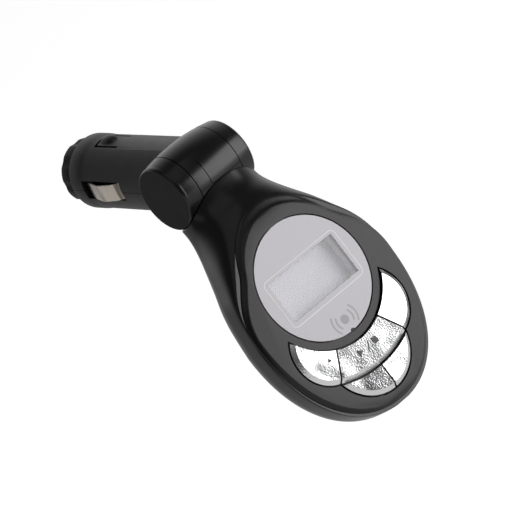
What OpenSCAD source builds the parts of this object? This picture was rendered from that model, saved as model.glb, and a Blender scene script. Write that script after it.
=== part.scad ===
// Car FM transmitter: a lighter-socket plug, a tilting knuckle and an egg-shaped head.
// Millimetres. +Y runs along the plug towards its nose, +Z is up and X is the knuckle's axis.
// The origin lies on the plug's axis, in the middle of the plain band behind its front edge.

/* [Plug] */
// Diameter of the plug barrel
plug_d = 20.6; // [20:0.1:21.2]
// Wall of the plug shells
plug_wall = 1.5; // [1.2:0.1:2]
// From the origin forward to the front edge of the barrel
shoulder = 2.5; // [2:0.1:4]
// From the origin back to the knuckle's axis
hinge_reach = 41.5; // [38:0.5:46]
// Length of each side window
window_l = 17; // [14:0.5:18]
// Height of each side window
window_h = 5.6; // [4:0.1:6]
// From the origin back to the windows' front edge
window_back = 2.7; // [2.4:0.1:4]
// Length of the lock tab
tab_l = 9.4; // [7:0.1:12]
// Width of the lock tab
tab_w = 5; // [4:0.1:6]
// From the origin back to the tab's free end
tab_back = 6.4; // [5:0.1:9]
// Width of the slot that frees the tab
tab_slot = 0.6; // [0.4:0.05:0.8]
// Height of the bump on the tab
tab_bump = 0.9; // [0.5:0.05:1.2]
// How far the barrel steps down behind its front band
band_step = 0.2; // [0.16:0.02:0.3]

/* [Nose] */
// Diameter over the ring's lobes
ring_d = 17.8; // [17:0.1:19]
// Length of the ring
ring_l = 5.5; // [4.5:0.1:6.5]
// Number of finger lobes on the ring
ring_lobes = 8; // [6:1:12]
// Depth of the scallops between the lobes
scallop = 0.5; // [0.3:0.05:0.7]
// Opening in the ring for the contact
nose_bore_d = 6.4; // [6:0.1:7]
// Diameter of the centre contact
contact_d = 5.8; // [5:0.1:6]
// How far the contact stands out of the ring
contact_out = 4.2; // [3.5:0.1:5]
// Travel of the centre contact
contact_travel = 2.5; // [1.5:0.1:3]
// Lead of the ring's thread
thread_lead = 1; // [0.75:0.25:1.5]
// Diameter of the fuse
fuse_d = 5.2; // [5:0.1:5.4]

/* [Knuckle] */
// Largest diameter of the crowned drum
drum_d = 21.5; // [21:0.1:23]
// Radius of the crown along the axis
crown_r = 58; // [45:1:90]
// Length of the drum between its two end caps
drum_l = 15.2; // [14:0.1:17]
// Length of each end cap
cap_l = 5; // [4:0.1:6]
// Bevel round each cap's outer edge
cap_bevel = 0.7; // [0.4:0.05:1]
// Seam between the drum and a cap
seam = 0.15; // [0.1:0.05:0.25]
// Wall of the drum
drum_wall = 1.45; // [1.2:0.05:1.7]
// Diameter of the hinge pins
hinge_pin_d = 4; // [3:0.1:4.5]
// Tilt of the head below the plug's line
head_tilt = 68; // [60:1:80]
// Travel of the head upwards from that tilt
tilt_up = 50; // [30:1:52]
// Travel of the head downwards from that tilt
tilt_down = 8; // [4:1:10]

/* [Head] */
// From the knuckle's axis to the head's tip
head_l = 79.4; // [76:0.1:84]
// Width of the head
head_w = 51.4; // [50:0.1:54]
// Width of the neck at the knuckle
neck_w = 26; // [25:0.1:28]
// Height of the face's seat above the knuckle's axis
seat_z = 14.4; // [14:0.1:15]
// Depth of the head's back below the knuckle's axis
back_z = 3; // [2.6:0.1:3.6]
// Wall of the head shells
head_wall = 1.6; // [1.3:0.1:1.8]
// Height of the parting plane above the knuckle's axis
parting_z = 5; // [4.6:0.1:5.4]
// Thickness of the face plate
plate_t = 1.3; // [1:0.1:1.6]

/* [Display] */
// Diameter of the lens
lens_d = 34.2; // [33:0.1:35]
// Thickness of the lens
lens_t = 1.2; // [1:0.1:1.4]
// Width of the display window
screen_w = 24.8; // [22:0.1:25]
// Height of the display window
screen_h = 12.2; // [11:0.1:13]
// Depth of the display below the face
screen_depth = 4.4; // [4:0.1:4.8]

/* [Keys] */
// Gap round each key
key_gap = 0.35; // [0.25:0.05:0.45]
// How far the keys stand above the face
key_rise = 0.9; // [0.6:0.1:1.2]
// Width of the bevel round each key
key_bevel = 1.2; // [0.8:0.1:1.4]
// Travel of the keys
key_travel = 0.6; // [0.4:0.05:0.7]

/* [Sockets] */
// Width of the data socket's shell
usb_w = 13.2; // [13:0.1:13.6]
// Height of the data socket's shell
usb_h = 6.2; // [5.9:0.1:6.4]
// Length of the data socket's shell
usb_l = 10; // [9.5:0.1:10.2]
// Width of a memory card
card_w = 24; // [24:0.1:24.4]
// Thickness of a memory card
card_t = 2.1; // [2:0.1:2.3]

/* [Hidden] */

fine = 96;
smooth = 48;
over = 1;
black = "#1b1b1d";
satin = "#2a2a2c";
gunmetal = "#58545a";
silver = "#c9c5cc";
chrome = "#d8d8da";
champagne = "#cfc8b8";
brass = "#c8a24a";
green = "#2f6b43";

fit = 0.02;
run_gap = 0.05;
turn_gap = 0.3;
// Hundredths of the plug's reach and of the head's width and length, in which many places are given
reach_part = hinge_reach / 100;
w_part = head_w / 100;
l_part = head_l / 100;
lens_s = 49.622 * l_part;
plug_r = plug_d / 2;
bore_r = plug_r - plug_wall;
drum_r = drum_d / 2;
drum_half = drum_l / 2;
knuckle_half = drum_half + cap_l;
hinge_pin_r = hinge_pin_d / 2;
nose_start = shoulder + 0.45;
nose_end = nose_start + ring_l;
lens_r = lens_d / 2;
face_z = seat_z + plate_t;

// Frames

module along_y() rotate([-90, 0, 0]) children();
module along_x() rotate([0, 90, 0]) children();
module at_hinge() translate([0, -hinge_reach, 0]) children();
module in_head() at_hinge() rotate([head_tilt, 0, 0]) children();
module on_face(u, v, z) translate([u, -lens_s - v, z]) children();
module bar(w, d, h) translate([-w / 2, -d / 2, 0]) cube([w, d, h]);
module mirrored_x() { children(); mirror([1, 0, 0]) children(); }

// Knuckle: the crowned drum on the X axis

// Radius of the crowned surface at distance x from the middle
function crown(x) = drum_r - crown_r + sqrt(crown_r * crown_r - x * x);

// Solid of the crowned surface between two places on the axis, grown by a gap
crown_steps = 10;
module crowned(x0, x1, grow = 0) {
    step = (x1 - x0) / crown_steps;
    along_x() rotate_extrude($fn = fine)
        polygon(concat([[0, x0]], [for (i = [0:crown_steps]) [crown(x0 + i * step) + grow, x0 + i * step]],
                       [[0, x1]]));
}

ear_half = 4.8;
ear_top = 1.6;
ear_bottom = -2.6;
slot_play = 2;
hub_r = crown(drum_half) - drum_wall - turn_gap;
slot_low = head_tilt + tilt_down + asin(-ear_bottom / hub_r) + slot_play;
slot_high = head_tilt - tilt_up - asin(ear_top / hub_r) - slot_play;
finger_x = -3.5;
finger_slit = 0.35;
finger_top = 40;

// Wedge round the X axis between two angles below the line that leaves the plug
module wedge(low, high, w, r) {
    rotate([high, 0, 0]) translate([-w / 2, -r, -r]) intersection() {
        cube([w, r, r]);
        translate([0, r, r]) rotate([low - high - 90, 0, 0]) translate([0, -r, -r]) cube([w, r, r]);
    }
}

module drum_slot() {
    at_hinge() intersection() {
        wedge(slot_low, slot_high, 2 * (ear_half + turn_gap), 2 * drum_r);
        crowned(-drum_half, drum_half, over);
    }
}

// Plug: two half shells that also make the drum

module plug_outer() {
    band_half = shoulder - edge_r;
    translate([0, -hinge_reach, 0]) along_y()
        cylinder(r = plug_r - band_step, h = hinge_reach + shoulder, $fn = fine);
    translate([0, -band_half, 0]) along_y() cylinder(r = plug_r, h = band_half + shoulder, $fn = fine);
    at_hinge() crowned(-drum_half + seam, drum_half - seam);
}

module plug_inner() {
    translate([0, -hinge_reach, 0]) along_y() cylinder(r = bore_r, h = hinge_reach + shoulder - front_wall,
                                                       $fn = fine);
    along_y() cylinder(r = throat_r + run_gap, h = shoulder + over, $fn = fine);
    at_hinge() along_x() translate([0, 0, -drum_half]) cylinder(r = hub_r + turn_gap, h = drum_l, $fn = fine);
}

// The front wall holds the thread's turns
thread_turns = 1.6;
front_wall = thread_turns * thread_lead;

module cap_space() {
    at_hinge() mirrored_x() crowned(drum_half - seam, knuckle_half + over, seam);
}

module side_windows() {
    translate([-plug_d, -window_back - window_l, -window_h / 2]) cube([2 * plug_d, window_l, window_h]);
}

// The lock tab is a finger of the upper shell, cut free on three sides, with a bump at its end
module tab_cut() {
    end = -tab_back + tab_slot;
    difference() {
        translate([0, end - (tab_l + tab_slot) / 2, 0]) bar(tab_w + 2 * tab_slot, tab_l + tab_slot, plug_d);
        translate([0, -tab_back - tab_l / 2 - over / 2, 0]) bar(tab_w, tab_l + over, plug_d);
    }
}

bump_l = 5.6;
module tab_bump_solid() {
    x = bump_l;
    translate([-tab_w / 2, -tab_back, plug_r - plug_wall / 2]) rotate([0, 90, 0]) rotate([0, 0, 90])
        linear_extrude(tab_w)
            polygon([[0, 0], [0, plug_wall / 2 + tab_bump / 2], [-x / 4, plug_wall / 2 + tab_bump],
                     [-x / 2, plug_wall / 2 + tab_bump], [-x, plug_wall / 2 - tab_bump / 4], [-x, 0]]);
}

module finger_cut() {
    at_hinge() rotate([-finger_top, 0, 0]) translate([finger_x - finger_slit / 2, -2 * drum_r, -2 * drum_r])
        cube([finger_slit, 2 * drum_r, 2 * drum_r]);
}

module plug_halves() {
    difference() {
        plug_outer();
        plug_inner();
        cap_space();
        side_windows();
        translate([0, shoulder, 0]) along_y() rotate_extrude($fn = fine)
            polygon([[plug_r - edge_r, 0], [plug_r + over, 0], [plug_r + over, -edge_r - over],
                     [plug_r, -edge_r]]);
    }
}

edge_r = 0.35;
big = 2 * (hinge_reach + head_l);

module plug_shell_upper() {
    color(satin) {
        difference() {
            intersection() {
                plug_halves();
                translate([-big / 2, -big / 2, 0]) cube([big, big, big]);
            }
            tab_cut();
            finger_cut();
        }
        tab_bump_solid();
    }
}

module plug_shell_lower() {
    color(satin) difference() {
        intersection() {
            plug_halves();
            translate([-big / 2, -big / 2, -big]) cube([big, big, big]);
        }
        drum_slot();
        board_slots();
    }
}

// Knuckle caps, pins and washers

cap_wall = 1.5;
boss_r = 4;
spigot_l = 0.7;
washer_t = 0.5;
hub_half = drum_half - spigot_l - washer_t - 2 * run_gap;
pin_inner = 3.4;
pin_outer = knuckle_half - cap_wall;

module cap(side) {
    color(black) at_hinge() scale([side, 1, 1]) difference() {
        union() {
            difference() {
                crowned(drum_half, knuckle_half);
                along_x() translate([0, 0, knuckle_half - cap_bevel]) rotate_extrude($fn = fine)
                    polygon([[crown(knuckle_half) + over, 0], [crown(knuckle_half) + over, cap_bevel + over],
                             [crown(knuckle_half) - cap_bevel - over, cap_bevel + over],
                             [crown(knuckle_half) - cap_bevel, cap_bevel], [crown(knuckle_half), 0]]);
                along_x() translate([0, 0, drum_half - over])
                    cylinder(r = hub_r - cap_wall, h = cap_l - cap_wall + over, $fn = fine);
            }
            along_x() translate([0, 0, drum_half - spigot_l]) cylinder(r = boss_r, h = cap_l, $fn = smooth);
            along_x() translate([0, 0, drum_half - spigot_l]) difference() {
                cylinder(r = hub_r + turn_gap - fit, h = spigot_l + over, $fn = fine);
                translate([0, 0, -over]) cylinder(r = hub_r - cap_wall, h = spigot_l + 3 * over, $fn = fine);
            }
        }
        along_x() translate([0, 0, drum_half - spigot_l - over])
            cylinder(r = hinge_pin_r + fit, h = pin_outer - drum_half + spigot_l + over + fit, $fn = smooth);
    }
}

module hinge_cap_left() { cap(-1); }
module hinge_cap_right() { cap(1); }

module hinge_pins() {
    color(silver) at_hinge() mirrored_x() along_x() translate([0, 0, pin_inner])
        cylinder(r = hinge_pin_r, h = pin_outer - pin_inner, $fn = smooth);
}

module friction_washers() {
    color(silver) at_hinge() mirrored_x() along_x() translate([0, 0, hub_half + run_gap]) difference() {
        cylinder(r = boss_r + over, h = washer_t, $fn = smooth);
        translate([0, 0, -over]) cylinder(r = hinge_pin_r + turn_gap / 2, h = washer_t + 2 * over, $fn = smooth);
    }
}

// Plug electronics

board_t = 1.2;
plug_board_z = -4.6;
plug_board_back = hinge_reach - drum_r - 1.2;
plug_board_front = 4.5;
plug_board_half = sqrt(bore_r * bore_r - plug_board_z * plug_board_z) - 0.25;
board_slot_depth = 0.35;

// Grooves in the lower shell that the board's long edges drop into
module board_slots() {
    translate([0, -(plug_board_back + plug_board_front) / 2, plug_board_z])
        bar(2 * (plug_board_half + board_slot_depth), plug_board_back - plug_board_front + 2 * fit, board_t + fit);
}

module plug_board() {
    color(green) translate([0, -(plug_board_back + plug_board_front) / 2, plug_board_z])
        bar(2 * (plug_board_half + board_slot_depth - fit), plug_board_back - plug_board_front, board_t);
}

coil_r = 3;
coil_h = 3;
coil_back = 33.73 * reach_part;
module plug_coil() {
    color("#4a3a2a") translate([0, -coil_back, plug_board_z - coil_h]) difference() {
        cylinder(r = coil_r, h = coil_h, $fn = smooth);
        translate([0, 0, coil_h / 4]) difference() {
            cylinder(r = coil_r + over, h = coil_h / 2, $fn = smooth);
            translate([0, 0, -over]) cylinder(r = coil_r * 0.8, h = coil_h / 2 + 2 * over, $fn = smooth);
        }
    }
}

cap_r = 2.2;
cap_len = 7;
plug_cap_x = 5.2;
plug_cap_back = 50.6 * reach_part;
module plug_capacitor() {
    color("#2b3a55") translate([plug_cap_x, -plug_cap_back - cap_len, plug_board_z + board_t + cap_r])
        along_y() cylinder(r = cap_r, h = cap_len, $fn = smooth);
}

// Centre line parts: contact, fuse, spring and the terminal that stops the spring

contact_r = contact_d / 2;
fuse_r = fuse_d / 2;
flange_r = 4.2;
flange_t = 1.2;
contact_seat = 2.4;
fuse_l = 48.19 * reach_part;
contact_len = nose_end + contact_out - shoulder + contact_seat;
fuse_front = shoulder - contact_seat - flange_t;
fuse_back = fuse_front - fuse_l;
wire_r = 0.35;
spring_turns = 6;
// The spring's room: its turns pressed flat, the contact's travel and some to spare
spring_spare = 0.7;
spring_l = spring_turns * 2 * wire_r + contact_travel + spring_spare;
spring_back = fuse_back - spring_l;
terminal_t = 0.5;
terminal_foot = 2.4;
spring_r = 2.2;

module contact_pin() {
    color(brass) translate([0, shoulder - contact_seat, 0]) along_y() rotate_extrude($fn = smooth) {
        square([contact_r, contact_len - contact_r]);
        intersection() {
            translate([0, contact_len - contact_r]) circle(r = contact_r, $fn = smooth);
            translate([0, contact_len - contact_r]) square([contact_r, contact_r]);
        }
        translate([0, -flange_t]) square([flange_r, flange_t]);
    }
}

module fuse() {
    cap_l_fuse = fuse_l / 4;
    translate([0, fuse_back + fit, 0]) along_y() {
        color("#dfe6ea") translate([0, 0, cap_l_fuse]) cylinder(r = fuse_r - fit, h = fuse_l - 2 * cap_l_fuse,
                                                                $fn = smooth);
        color(chrome) cylinder(r = fuse_r, h = cap_l_fuse, $fn = smooth);
        color(chrome) translate([0, 0, fuse_l - cap_l_fuse]) cylinder(r = fuse_r, h = cap_l_fuse - fit,
                                                                      $fn = smooth);
    }
}

// Point of the coil at turn t, and a ring of the wire there
spring_sides = 6;
spring_steps = 8;
function coil_point(t) = [spring_r * cos(360 * t), spring_back + wire_r + spring_pitch * t,
                          spring_r * sin(360 * t)];
spring_pitch = (spring_l - 2 * wire_r - fit) / spring_turns;
function coil_ring(t) = [for (i = [0:spring_sides - 1])
    let (a = 360 * i / spring_sides, r = spring_r + wire_r * cos(a))
    [r * cos(360 * t), spring_back + wire_r + spring_pitch * t + wire_r * sin(a), r * sin(360 * t)]];

// Closed tube through a list of rings, each with the same number of points
function tube_faces(rings, sides) = concat(
    [[for (i = [sides - 1:-1:0]) i]],
    [for (k = [0:rings - 2], i = [0:sides - 1])
        [k * sides + i, k * sides + (i + 1) % sides, (k + 1) * sides + (i + 1) % sides]],
    [for (k = [0:rings - 2], i = [0:sides - 1])
        [k * sides + i, (k + 1) * sides + (i + 1) % sides, (k + 1) * sides + i]],
    [[for (i = [0:sides - 1]) (rings - 1) * sides + i]]);

module contact_spring() {
    count = spring_turns * spring_steps + 1;
    color(silver) polyhedron(points = [for (k = [0:count - 1]) each coil_ring(k / spring_steps)],
                             faces = tube_faces(count, spring_sides));
}

module fuse_terminal() {
    top = spring_r + wire_r;
    color(brass) {
        translate([0, spring_back - terminal_t / 2, plug_board_z + board_t])
            bar(2 * top, terminal_t, top - plug_board_z - board_t);
        translate([0, spring_back - terminal_t + terminal_foot / 2, plug_board_z + board_t])
            bar(2 * top, terminal_foot, terminal_t);
    }
}

// Ground springs: bent leaves that stand out of the side windows

leaf_t = 0.4;
leaf_w = window_h - 0.6;
leaf_out = 1.1;
leaf_travel = 1.1;
leaf_play = 0.4;
// Places along the leaf and heights of its bends, as shares of its length and of its rise
leaf_shares = [[0, 0], [0.47, 0.9], [0.58, 1], [0.76, 0.86], [0.85, 0.8], [1, 0.12]];
leaf_low = plug_r - leaf_travel - 0.35;
module ground_spring(side) {
    length = window_l - 2 * leaf_play;
    rise = plug_r + leaf_out - leaf_low;
    outer = [for (p = leaf_shares) [leaf_low + rise * p[1], -window_back - leaf_play - length * p[0]]];
    inner = [for (i = [len(outer) - 1:-1:0]) [outer[i][0] - leaf_t, outer[i][1]]];
    color(champagne) scale([side, 1, 1]) translate([0, 0, -leaf_w / 2])
        linear_extrude(leaf_w) polygon(concat(outer, inner));
}

module ground_spring_left() { ground_spring(-1); }
module ground_spring_right() { ground_spring(1); }

// Nose: an insulating bush round the contact, and the scalloped ring that screws into the barrel

throat_r = 7.3;
bush_r = 5.6;
ring_lip = 0.7;
seat_gap = 0.05;
module nose_bush() {
    start = shoulder - contact_seat + seat_gap;
    color("#303034") translate([0, start, 0]) along_y() difference() {
        cylinder(r = bush_r, h = nose_end - ring_lip - fit - start, $fn = fine);
        translate([0, 0, -over]) cylinder(r = contact_r + run_gap, h = 2 * nose_end, $fn = smooth);
    }
}

module nose_ring() {
    r = ring_d / 2;
    notch_r = PI * r / ring_lobes;
    color(satin) difference() {
        translate([0, nose_start, 0]) along_y() rotate_extrude($fn = fine)
            polygon([[0, -nose_start + shoulder - front_wall], [throat_r, -nose_start + shoulder - front_wall],
                     [throat_r, 0], [r - ring_lip, 0], [r, ring_lip], [r, ring_l - ring_lip],
                     [r - ring_lip, ring_l], [0, ring_l]]);
        translate([0, -over, 0]) along_y()
            cylinder(r = bush_r + run_gap, h = nose_end - ring_lip + over, $fn = fine);
        translate([0, nose_start, 0]) along_y() cylinder(r = nose_bore_d / 2, h = ring_l + over, $fn = smooth);
        for (i = [0:ring_lobes - 1]) rotate([0, 360 * i / ring_lobes, 0])
            translate([r + notch_r - scallop, nose_start, 0])
                along_y() cylinder(r = notch_r, h = ring_l + over, $fn = smooth);
    }
}

// Wires from the plug board to the knuckle

plug_wire_r = 0.5;
wire_gap = 0.1;
plug_wire_lap = 1.3;
module plug_wires() {
    end = -hinge_reach + hub_r + 2 * turn_gap;
    beside = spring_r + wire_r + plug_wire_r + wire_gap;
    color("#8a2020") mirrored_x() translate([beside, end, plug_board_z + board_t + plug_wire_r + fit])
        along_y() cylinder(r = plug_wire_r, h = -plug_board_back + plug_wire_lap - end, $fn = smooth);
}

// Head: sections of the housing along its length
// s runs from the knuckle's axis to the tip; x and z are across and towards the face

// Shares of the neck's length, of the widening to the head, of the centre, seat and back heights,
// then the power that squares the front corners
neck_l = 57.934 * l_part;
neck_shares = [
    [0.07, 0.04, -0.22, 0.69, 1.83, 2.3],
    [0.20, 0.02, -0.06, 0.79, 1.83, 2.3],
    [0.28, 0.05, 0.06, 0.93, 1.80, 2.6],
    [0.38, 0.19, 0.28, 1.05, 1.70, 3.1],
    [0.49, 0.40, 0.54, 1.11, 1.52, 3.8],
    [0.60, 0.60, 0.73, 1.13, 1.31, 4.6],
    [0.70, 0.78, 0.86, 1.14, 1.15, 5.7],
    [0.80, 0.90, 0.95, 1.146, 1.05, 7.0],
    [0.91, 0.97, 1.00, 1.146, 1.0, 8.0],
    [1.00, 1.00, 1.00, 1.146, 1.0, 8.0]
];
mid_share = 0.72917;
mid_z = mid_share * seat_z;
tail_power = 2.15;
back_power = 2.3;
keel_power = 2.5;

// Cubic blend of column k of the table at share q
function row_of(q, i = 0) = i >= len(neck_shares) - 2 || neck_shares[i + 1][0] >= q ? i : row_of(q, i + 1);
function slope(i, k) = let (a = max(i - 1, 0), b = min(i + 1, len(neck_shares) - 1))
    (neck_shares[b][k] - neck_shares[a][k]) / (neck_shares[b][0] - neck_shares[a][0]);
function blend(q, k) = let (
        i = row_of(q), d = neck_shares[i + 1][0] - neck_shares[i][0],
        t = min(1, max(0, (q - neck_shares[i][0]) / d)))
    neck_shares[i][k] * (1 + 2 * t) * (1 - t) * (1 - t) + slope(i, k) * d * t * (1 - t) * (1 - t)
    + neck_shares[i + 1][k] * t * t * (3 - 2 * t) - slope(i + 1, k) * d * t * t * (1 - t);

// How far along the tail a place is, and the round end that follows from it
function tail(s) = max(0, (s - neck_l) / (head_l - neck_l));
function round_end(t, power) = pow(max(0, 1 - pow(t, power)), 1 / power);

function half_w(s) = s < neck_l ? neck_w / 2 + (head_w - neck_w) / 2 * blend(s / neck_l, 1)
    : head_w / 2 * round_end(tail(s), tail_power);
function centre_z(s) = mid_z * blend(min(s, neck_l) / neck_l, 2);
function front_z(s) = seat_z * blend(min(s, neck_l) / neck_l, 3);
function rear_z(s) = s < neck_l ? -back_z * blend(s / neck_l, 4)
    : mid_z - (mid_z + back_z) * round_end(tail(s), keel_power);
function corner(s) = blend(min(s, neck_l) / neck_l, 5);

// Heights of a section above and below its widest level, inside the outer surface by a wall
function rise(s, wall) = front_z(s) - centre_z(s) - wall;
function fall(s, wall) = centre_z(s) - rear_z(s) - wall * (s < neck_l ? 1 : round_end(tail(s), keel_power));
function reach(s, wall) = half_w(s) - wall * (s < neck_l ? 1 : round_end(tail(s), tail_power));
function power_of(c, p) = sign(c) * pow(abs(c), 2 / p);

// Point of a section at angle a, and the angle at which the section crosses the parting plane
function section_point(s, a, wall, roof, y) = let (p = sin(a) >= 0 ? corner(s) : back_power)
    [reach(s, wall) * power_of(cos(a), p), -y,
     min(roof, centre_z(s) + (sin(a) >= 0 ? rise(s, wall) : fall(s, wall)) * power_of(sin(a), p))];
function parting_angle(s, wall) = let (d = parting_z - centre_z(s))
    d >= 0 ? asin(pow(d / rise(s, wall), corner(s) / 2))
    : -asin(min(steepest_share, pow(-d / fall(s, wall), back_power / 2)));
steepest_share = 0.9998;

// Arc of a section on the face side of the parting plane, or on the back
function arc(s, n, wall, roof, front, y) = let (a = parting_angle(s, wall))
    [for (i = [0:n]) section_point(s, front ? a + (180 - 2 * a) * i / n : 180 - a + (180 + 2 * a) * i / n,
                                   wall, roof, y)];

// Places along the head: even down the neck, then closer together towards the tip
neck_rings = 13;
tail_rings = 12;
function places(start, end) = concat(
    [for (i = [0:neck_rings - 1]) start + (neck_l - start) * i / neck_rings],
    [for (i = [0:tail_rings]) neck_l + (head_l - neck_l) * sin(asin(end) * i / tail_rings)]);

// Share of the tail at which the back of a housing inside by a wall rises to the parting plane
sliver = 0.3;
function back_end(wall) = let (h = mid_z + back_z - wall)
    pow(1 - pow((mid_z - parting_z + sliver) / h, keel_power), 1 / keel_power);
tip_shares = [0.968, 0.984, 0.9964];

// One half of the housing as a closed surface: outer skin, inner skin and the rim between them
outer_arc = 24;
inner_arc = 18;
neck_start = 3.2;
cavity_start = 13;
wall_step = 0.1;
ceiling_z = seat_z - head_wall + wall_step;
function inner_y(s) = s < neck_l ? s : neck_l + (s - neck_l) * (head_l - head_wall - neck_l) / (head_l - neck_l);
module half_shell(front) {
    outs = concat(places(neck_start, back_end(0)),
                  front ? [for (t = tip_shares) neck_l + (head_l - neck_l) * t] : []);
    ins = places(cavity_start, back_end(head_wall));
    m = outer_arc + 1;
    k = inner_arc + 1;
    n = len(ins);
    base = len(outs) * m;
    last = len(outs) - 1;
    flip = base + (n - 1) * k;
    polyhedron(points = concat([for (s = outs) each arc(s, outer_arc, 0, seat_z, front, s)],
                               [for (s = ins) each arc(s, inner_arc, head_wall, ceiling_z, front, inner_y(s))]),
        faces = concat(
            [for (j = [0:last - 1], i = [0:m - 2]) each
                [[j * m + i, (j + 1) * m + i + 1, j * m + i + 1], [j * m + i, (j + 1) * m + i, (j + 1) * m + i + 1]]],
            [for (j = [0:n - 2], i = [0:k - 2]) each
                [[base + j * k + i, base + j * k + i + 1, base + (j + 1) * k + i + 1],
                 [base + j * k + i, base + (j + 1) * k + i + 1, base + (j + 1) * k + i]]],
            [for (j = [0:n - 2]) each
                [[j * m, base + j * k, (j + 1) * m], [(j + 1) * m, base + j * k, base + (j + 1) * k],
                 [j * m + m - 1, (j + 1) * m + m - 1, base + j * k + k - 1],
                 [(j + 1) * m + m - 1, base + (j + 1) * k + k - 1, base + j * k + k - 1]]],
            [for (j = [n - 1:last - 1]) each
                j < last ? [[j * m, (j + 1) * m + m - 1, (j + 1) * m], [j * m, j * m + m - 1, (j + 1) * m + m - 1]] : []],
            [[m - 1, base, 0], [m - 1, base + k - 1, base]],
            [[(n - 1) * m, flip + k - 1, (n - 1) * m + m - 1], [(n - 1) * m, flip, flip + k - 1]],
            [[for (i = [0:m - 1]) i], [for (i = [m - 1:-1:0]) last * m + i],
             [for (i = [k - 1:-1:0]) base + i], [for (i = [0:k - 1]) flip + i]]));
}

module neck_saddle() crowned(-neck_w, neck_w, turn_gap);

// Ear of the hub, and the channel for it in the neck
ear_l = 20.5;
ear_flange_half = 7.6;
ear_flange_l = 4;
ear_flange_z = -0.6;
ear_gap = 0.1;

module ear_solid(grow, top) {
    translate([-ear_half - grow, -ear_l - grow, ear_bottom - grow])
        cube([2 * (ear_half + grow), ear_l + grow, top - ear_bottom + grow]);
    translate([-ear_flange_half - grow, -ear_l - grow, ear_flange_z - grow])
        cube([2 * (ear_flange_half + grow), ear_flange_l + 2 * grow, top - ear_flange_z + grow]);
}

channel_r = 1.5;
module hinge_hub() {
    color(black) in_head() difference() {
        union() {
            along_x() translate([0, 0, -hub_half]) cylinder(r = hub_r, h = 2 * hub_half, $fn = fine);
            ear_solid(0, ear_top);
        }
        along_x() translate([0, 0, -hub_half - over])
            cylinder(r = hinge_pin_r + run_gap, h = 2 * (hub_half + over), $fn = smooth);
        translate([0, 0, (ear_top + ear_bottom) / 2]) rotate([90, 0, 0])
            cylinder(r = channel_r, h = ear_l + over, $fn = smooth);
        rotate([-head_tilt, 0, 0]) along_y() cylinder(r = channel_r, h = hub_r + over, $fn = smooth);
        translate([0, -lead_turn_s + 3 * lead_r - big / 2, lead_z]) bar(4 * lead_r + 2 * ear_gap, big, ear_top + over);
        neck_screw_places() translate([0, 0, ear_bottom - over])
            cylinder(r = small_screw_r + ear_gap, h = ear_top - ear_bottom + 2 * over, $fn = smooth);
    }
}

small_screw_r = 0.9;
module neck_screw_places() {
    mirrored_x() translate([(ear_half + ear_flange_half) / 2, -ear_l + ear_flange_l / 2, 0]) children();
}

// Face outline: half-width of the plate at distance v below the lens centre
// Sizes of the collar round the lens, of the wings and of the lower end
collar_rims = [1.8, 3.3, 2.1, 6.7];
collar_top = [lens_r + collar_rims[0], lens_r + collar_rims[1]];
collar_foot = [lens_r + collar_rims[2], lens_r + collar_rims[3]];
wing_rims = [0.5, 0.25];
wing_centre = 6.927 * l_part;
wing_top = [head_w / 2 - wing_rims[0], 23.93 * l_part, 41.688 * l_part];
wing_foot = [head_w / 2 - wing_rims[1], 26.7 * l_part, 42.191 * l_part];

function collar_w(v, c) = abs(v) < c[1] ? c[0] * sqrt(1 - v * v / (c[1] * c[1])) : 0;
function wing_w(v, w) = let (t = (v - wing_centre) / (v < wing_centre ? -w[1] : w[2]))
    t >= 1 ? 0 : w[0] * round_end(t, v < wing_centre ? 2 : tail_power);
function plate_w(v, c, w) = max(v < 0 ? collar_w(v, c) : 0, wing_w(v, w));

plate_steps = 36;
function outline_v(i, c, w) = let (top = -c[1], foot = wing_centre + w[2])
    (top + foot) / 2 - (foot - top) / 2 * cos(180 * (i + 0.5) / plate_steps);
function outline(c, w) = concat(
    [for (i = [0:plate_steps - 1]) let (v = outline_v(i, c, w)) [plate_w(v, c, w), -lens_s - v]],
    [for (i = [plate_steps - 1:-1:0]) let (v = outline_v(i, c, w)) [-plate_w(v, c, w), -lens_s - v]]);

// Keys: five pieces of one bowl below the lens

side_key_u = 19.066 * w_part;
side_key_v = 20.025 * l_part;
side_key_r = min(20.039 * w_part, 12.972 * l_part);
low_key_v = 28.589 * l_part;
low_key_r = min(25.486 * w_part, 16.499 * l_part);
lens_rim = 2.9;
lens_clear_r = lens_r + lens_rim;
arc_v = -7.305 * l_part;
arc_r = 43.073 * l_part;
split_top = [15.759 * w_part, 22.922 * l_part];
split_foot = [24.903 * w_part, 32.62 * l_part];
key_foot_z = seat_z - head_wall + wall_step - 0.3;
key_top_z = face_z + key_rise;

module key_field(grow, z0, z1) {
    difference() {
        union() {
            mirrored_x() on_face(side_key_u, side_key_v, z0) cylinder(r = side_key_r + grow, h = z1 - z0, $fn = fine);
            on_face(0, low_key_v, z0) cylinder(r = low_key_r + grow, h = z1 - z0, $fn = fine);
        }
        on_face(0, 0, z0 - over) cylinder(r = lens_clear_r - grow, h = z1 - z0 + 2 * over, $fn = fine);
    }
}

// Round key blank with a bevelled rim
module key_blank(r) {
    rotate_extrude($fn = fine)
        polygon([[0, key_foot_z], [r, key_foot_z], [r, key_top_z - key_bevel * bevel_drop_share],
                 [r - key_bevel, key_top_z], [0, key_top_z]]);
}
bevel_drop_share = 0.7;

module lens_clearance() on_face(0, 0, 0) cylinder(r = lens_clear_r, h = 2 * key_top_z, $fn = fine);

module side_key() {
    difference() {
        on_face(side_key_u, side_key_v, 0) key_blank(side_key_r);
        lens_clearance();
        centre_wedge(key_gap / 2);
    }
    stem(side_stem);
}

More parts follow.
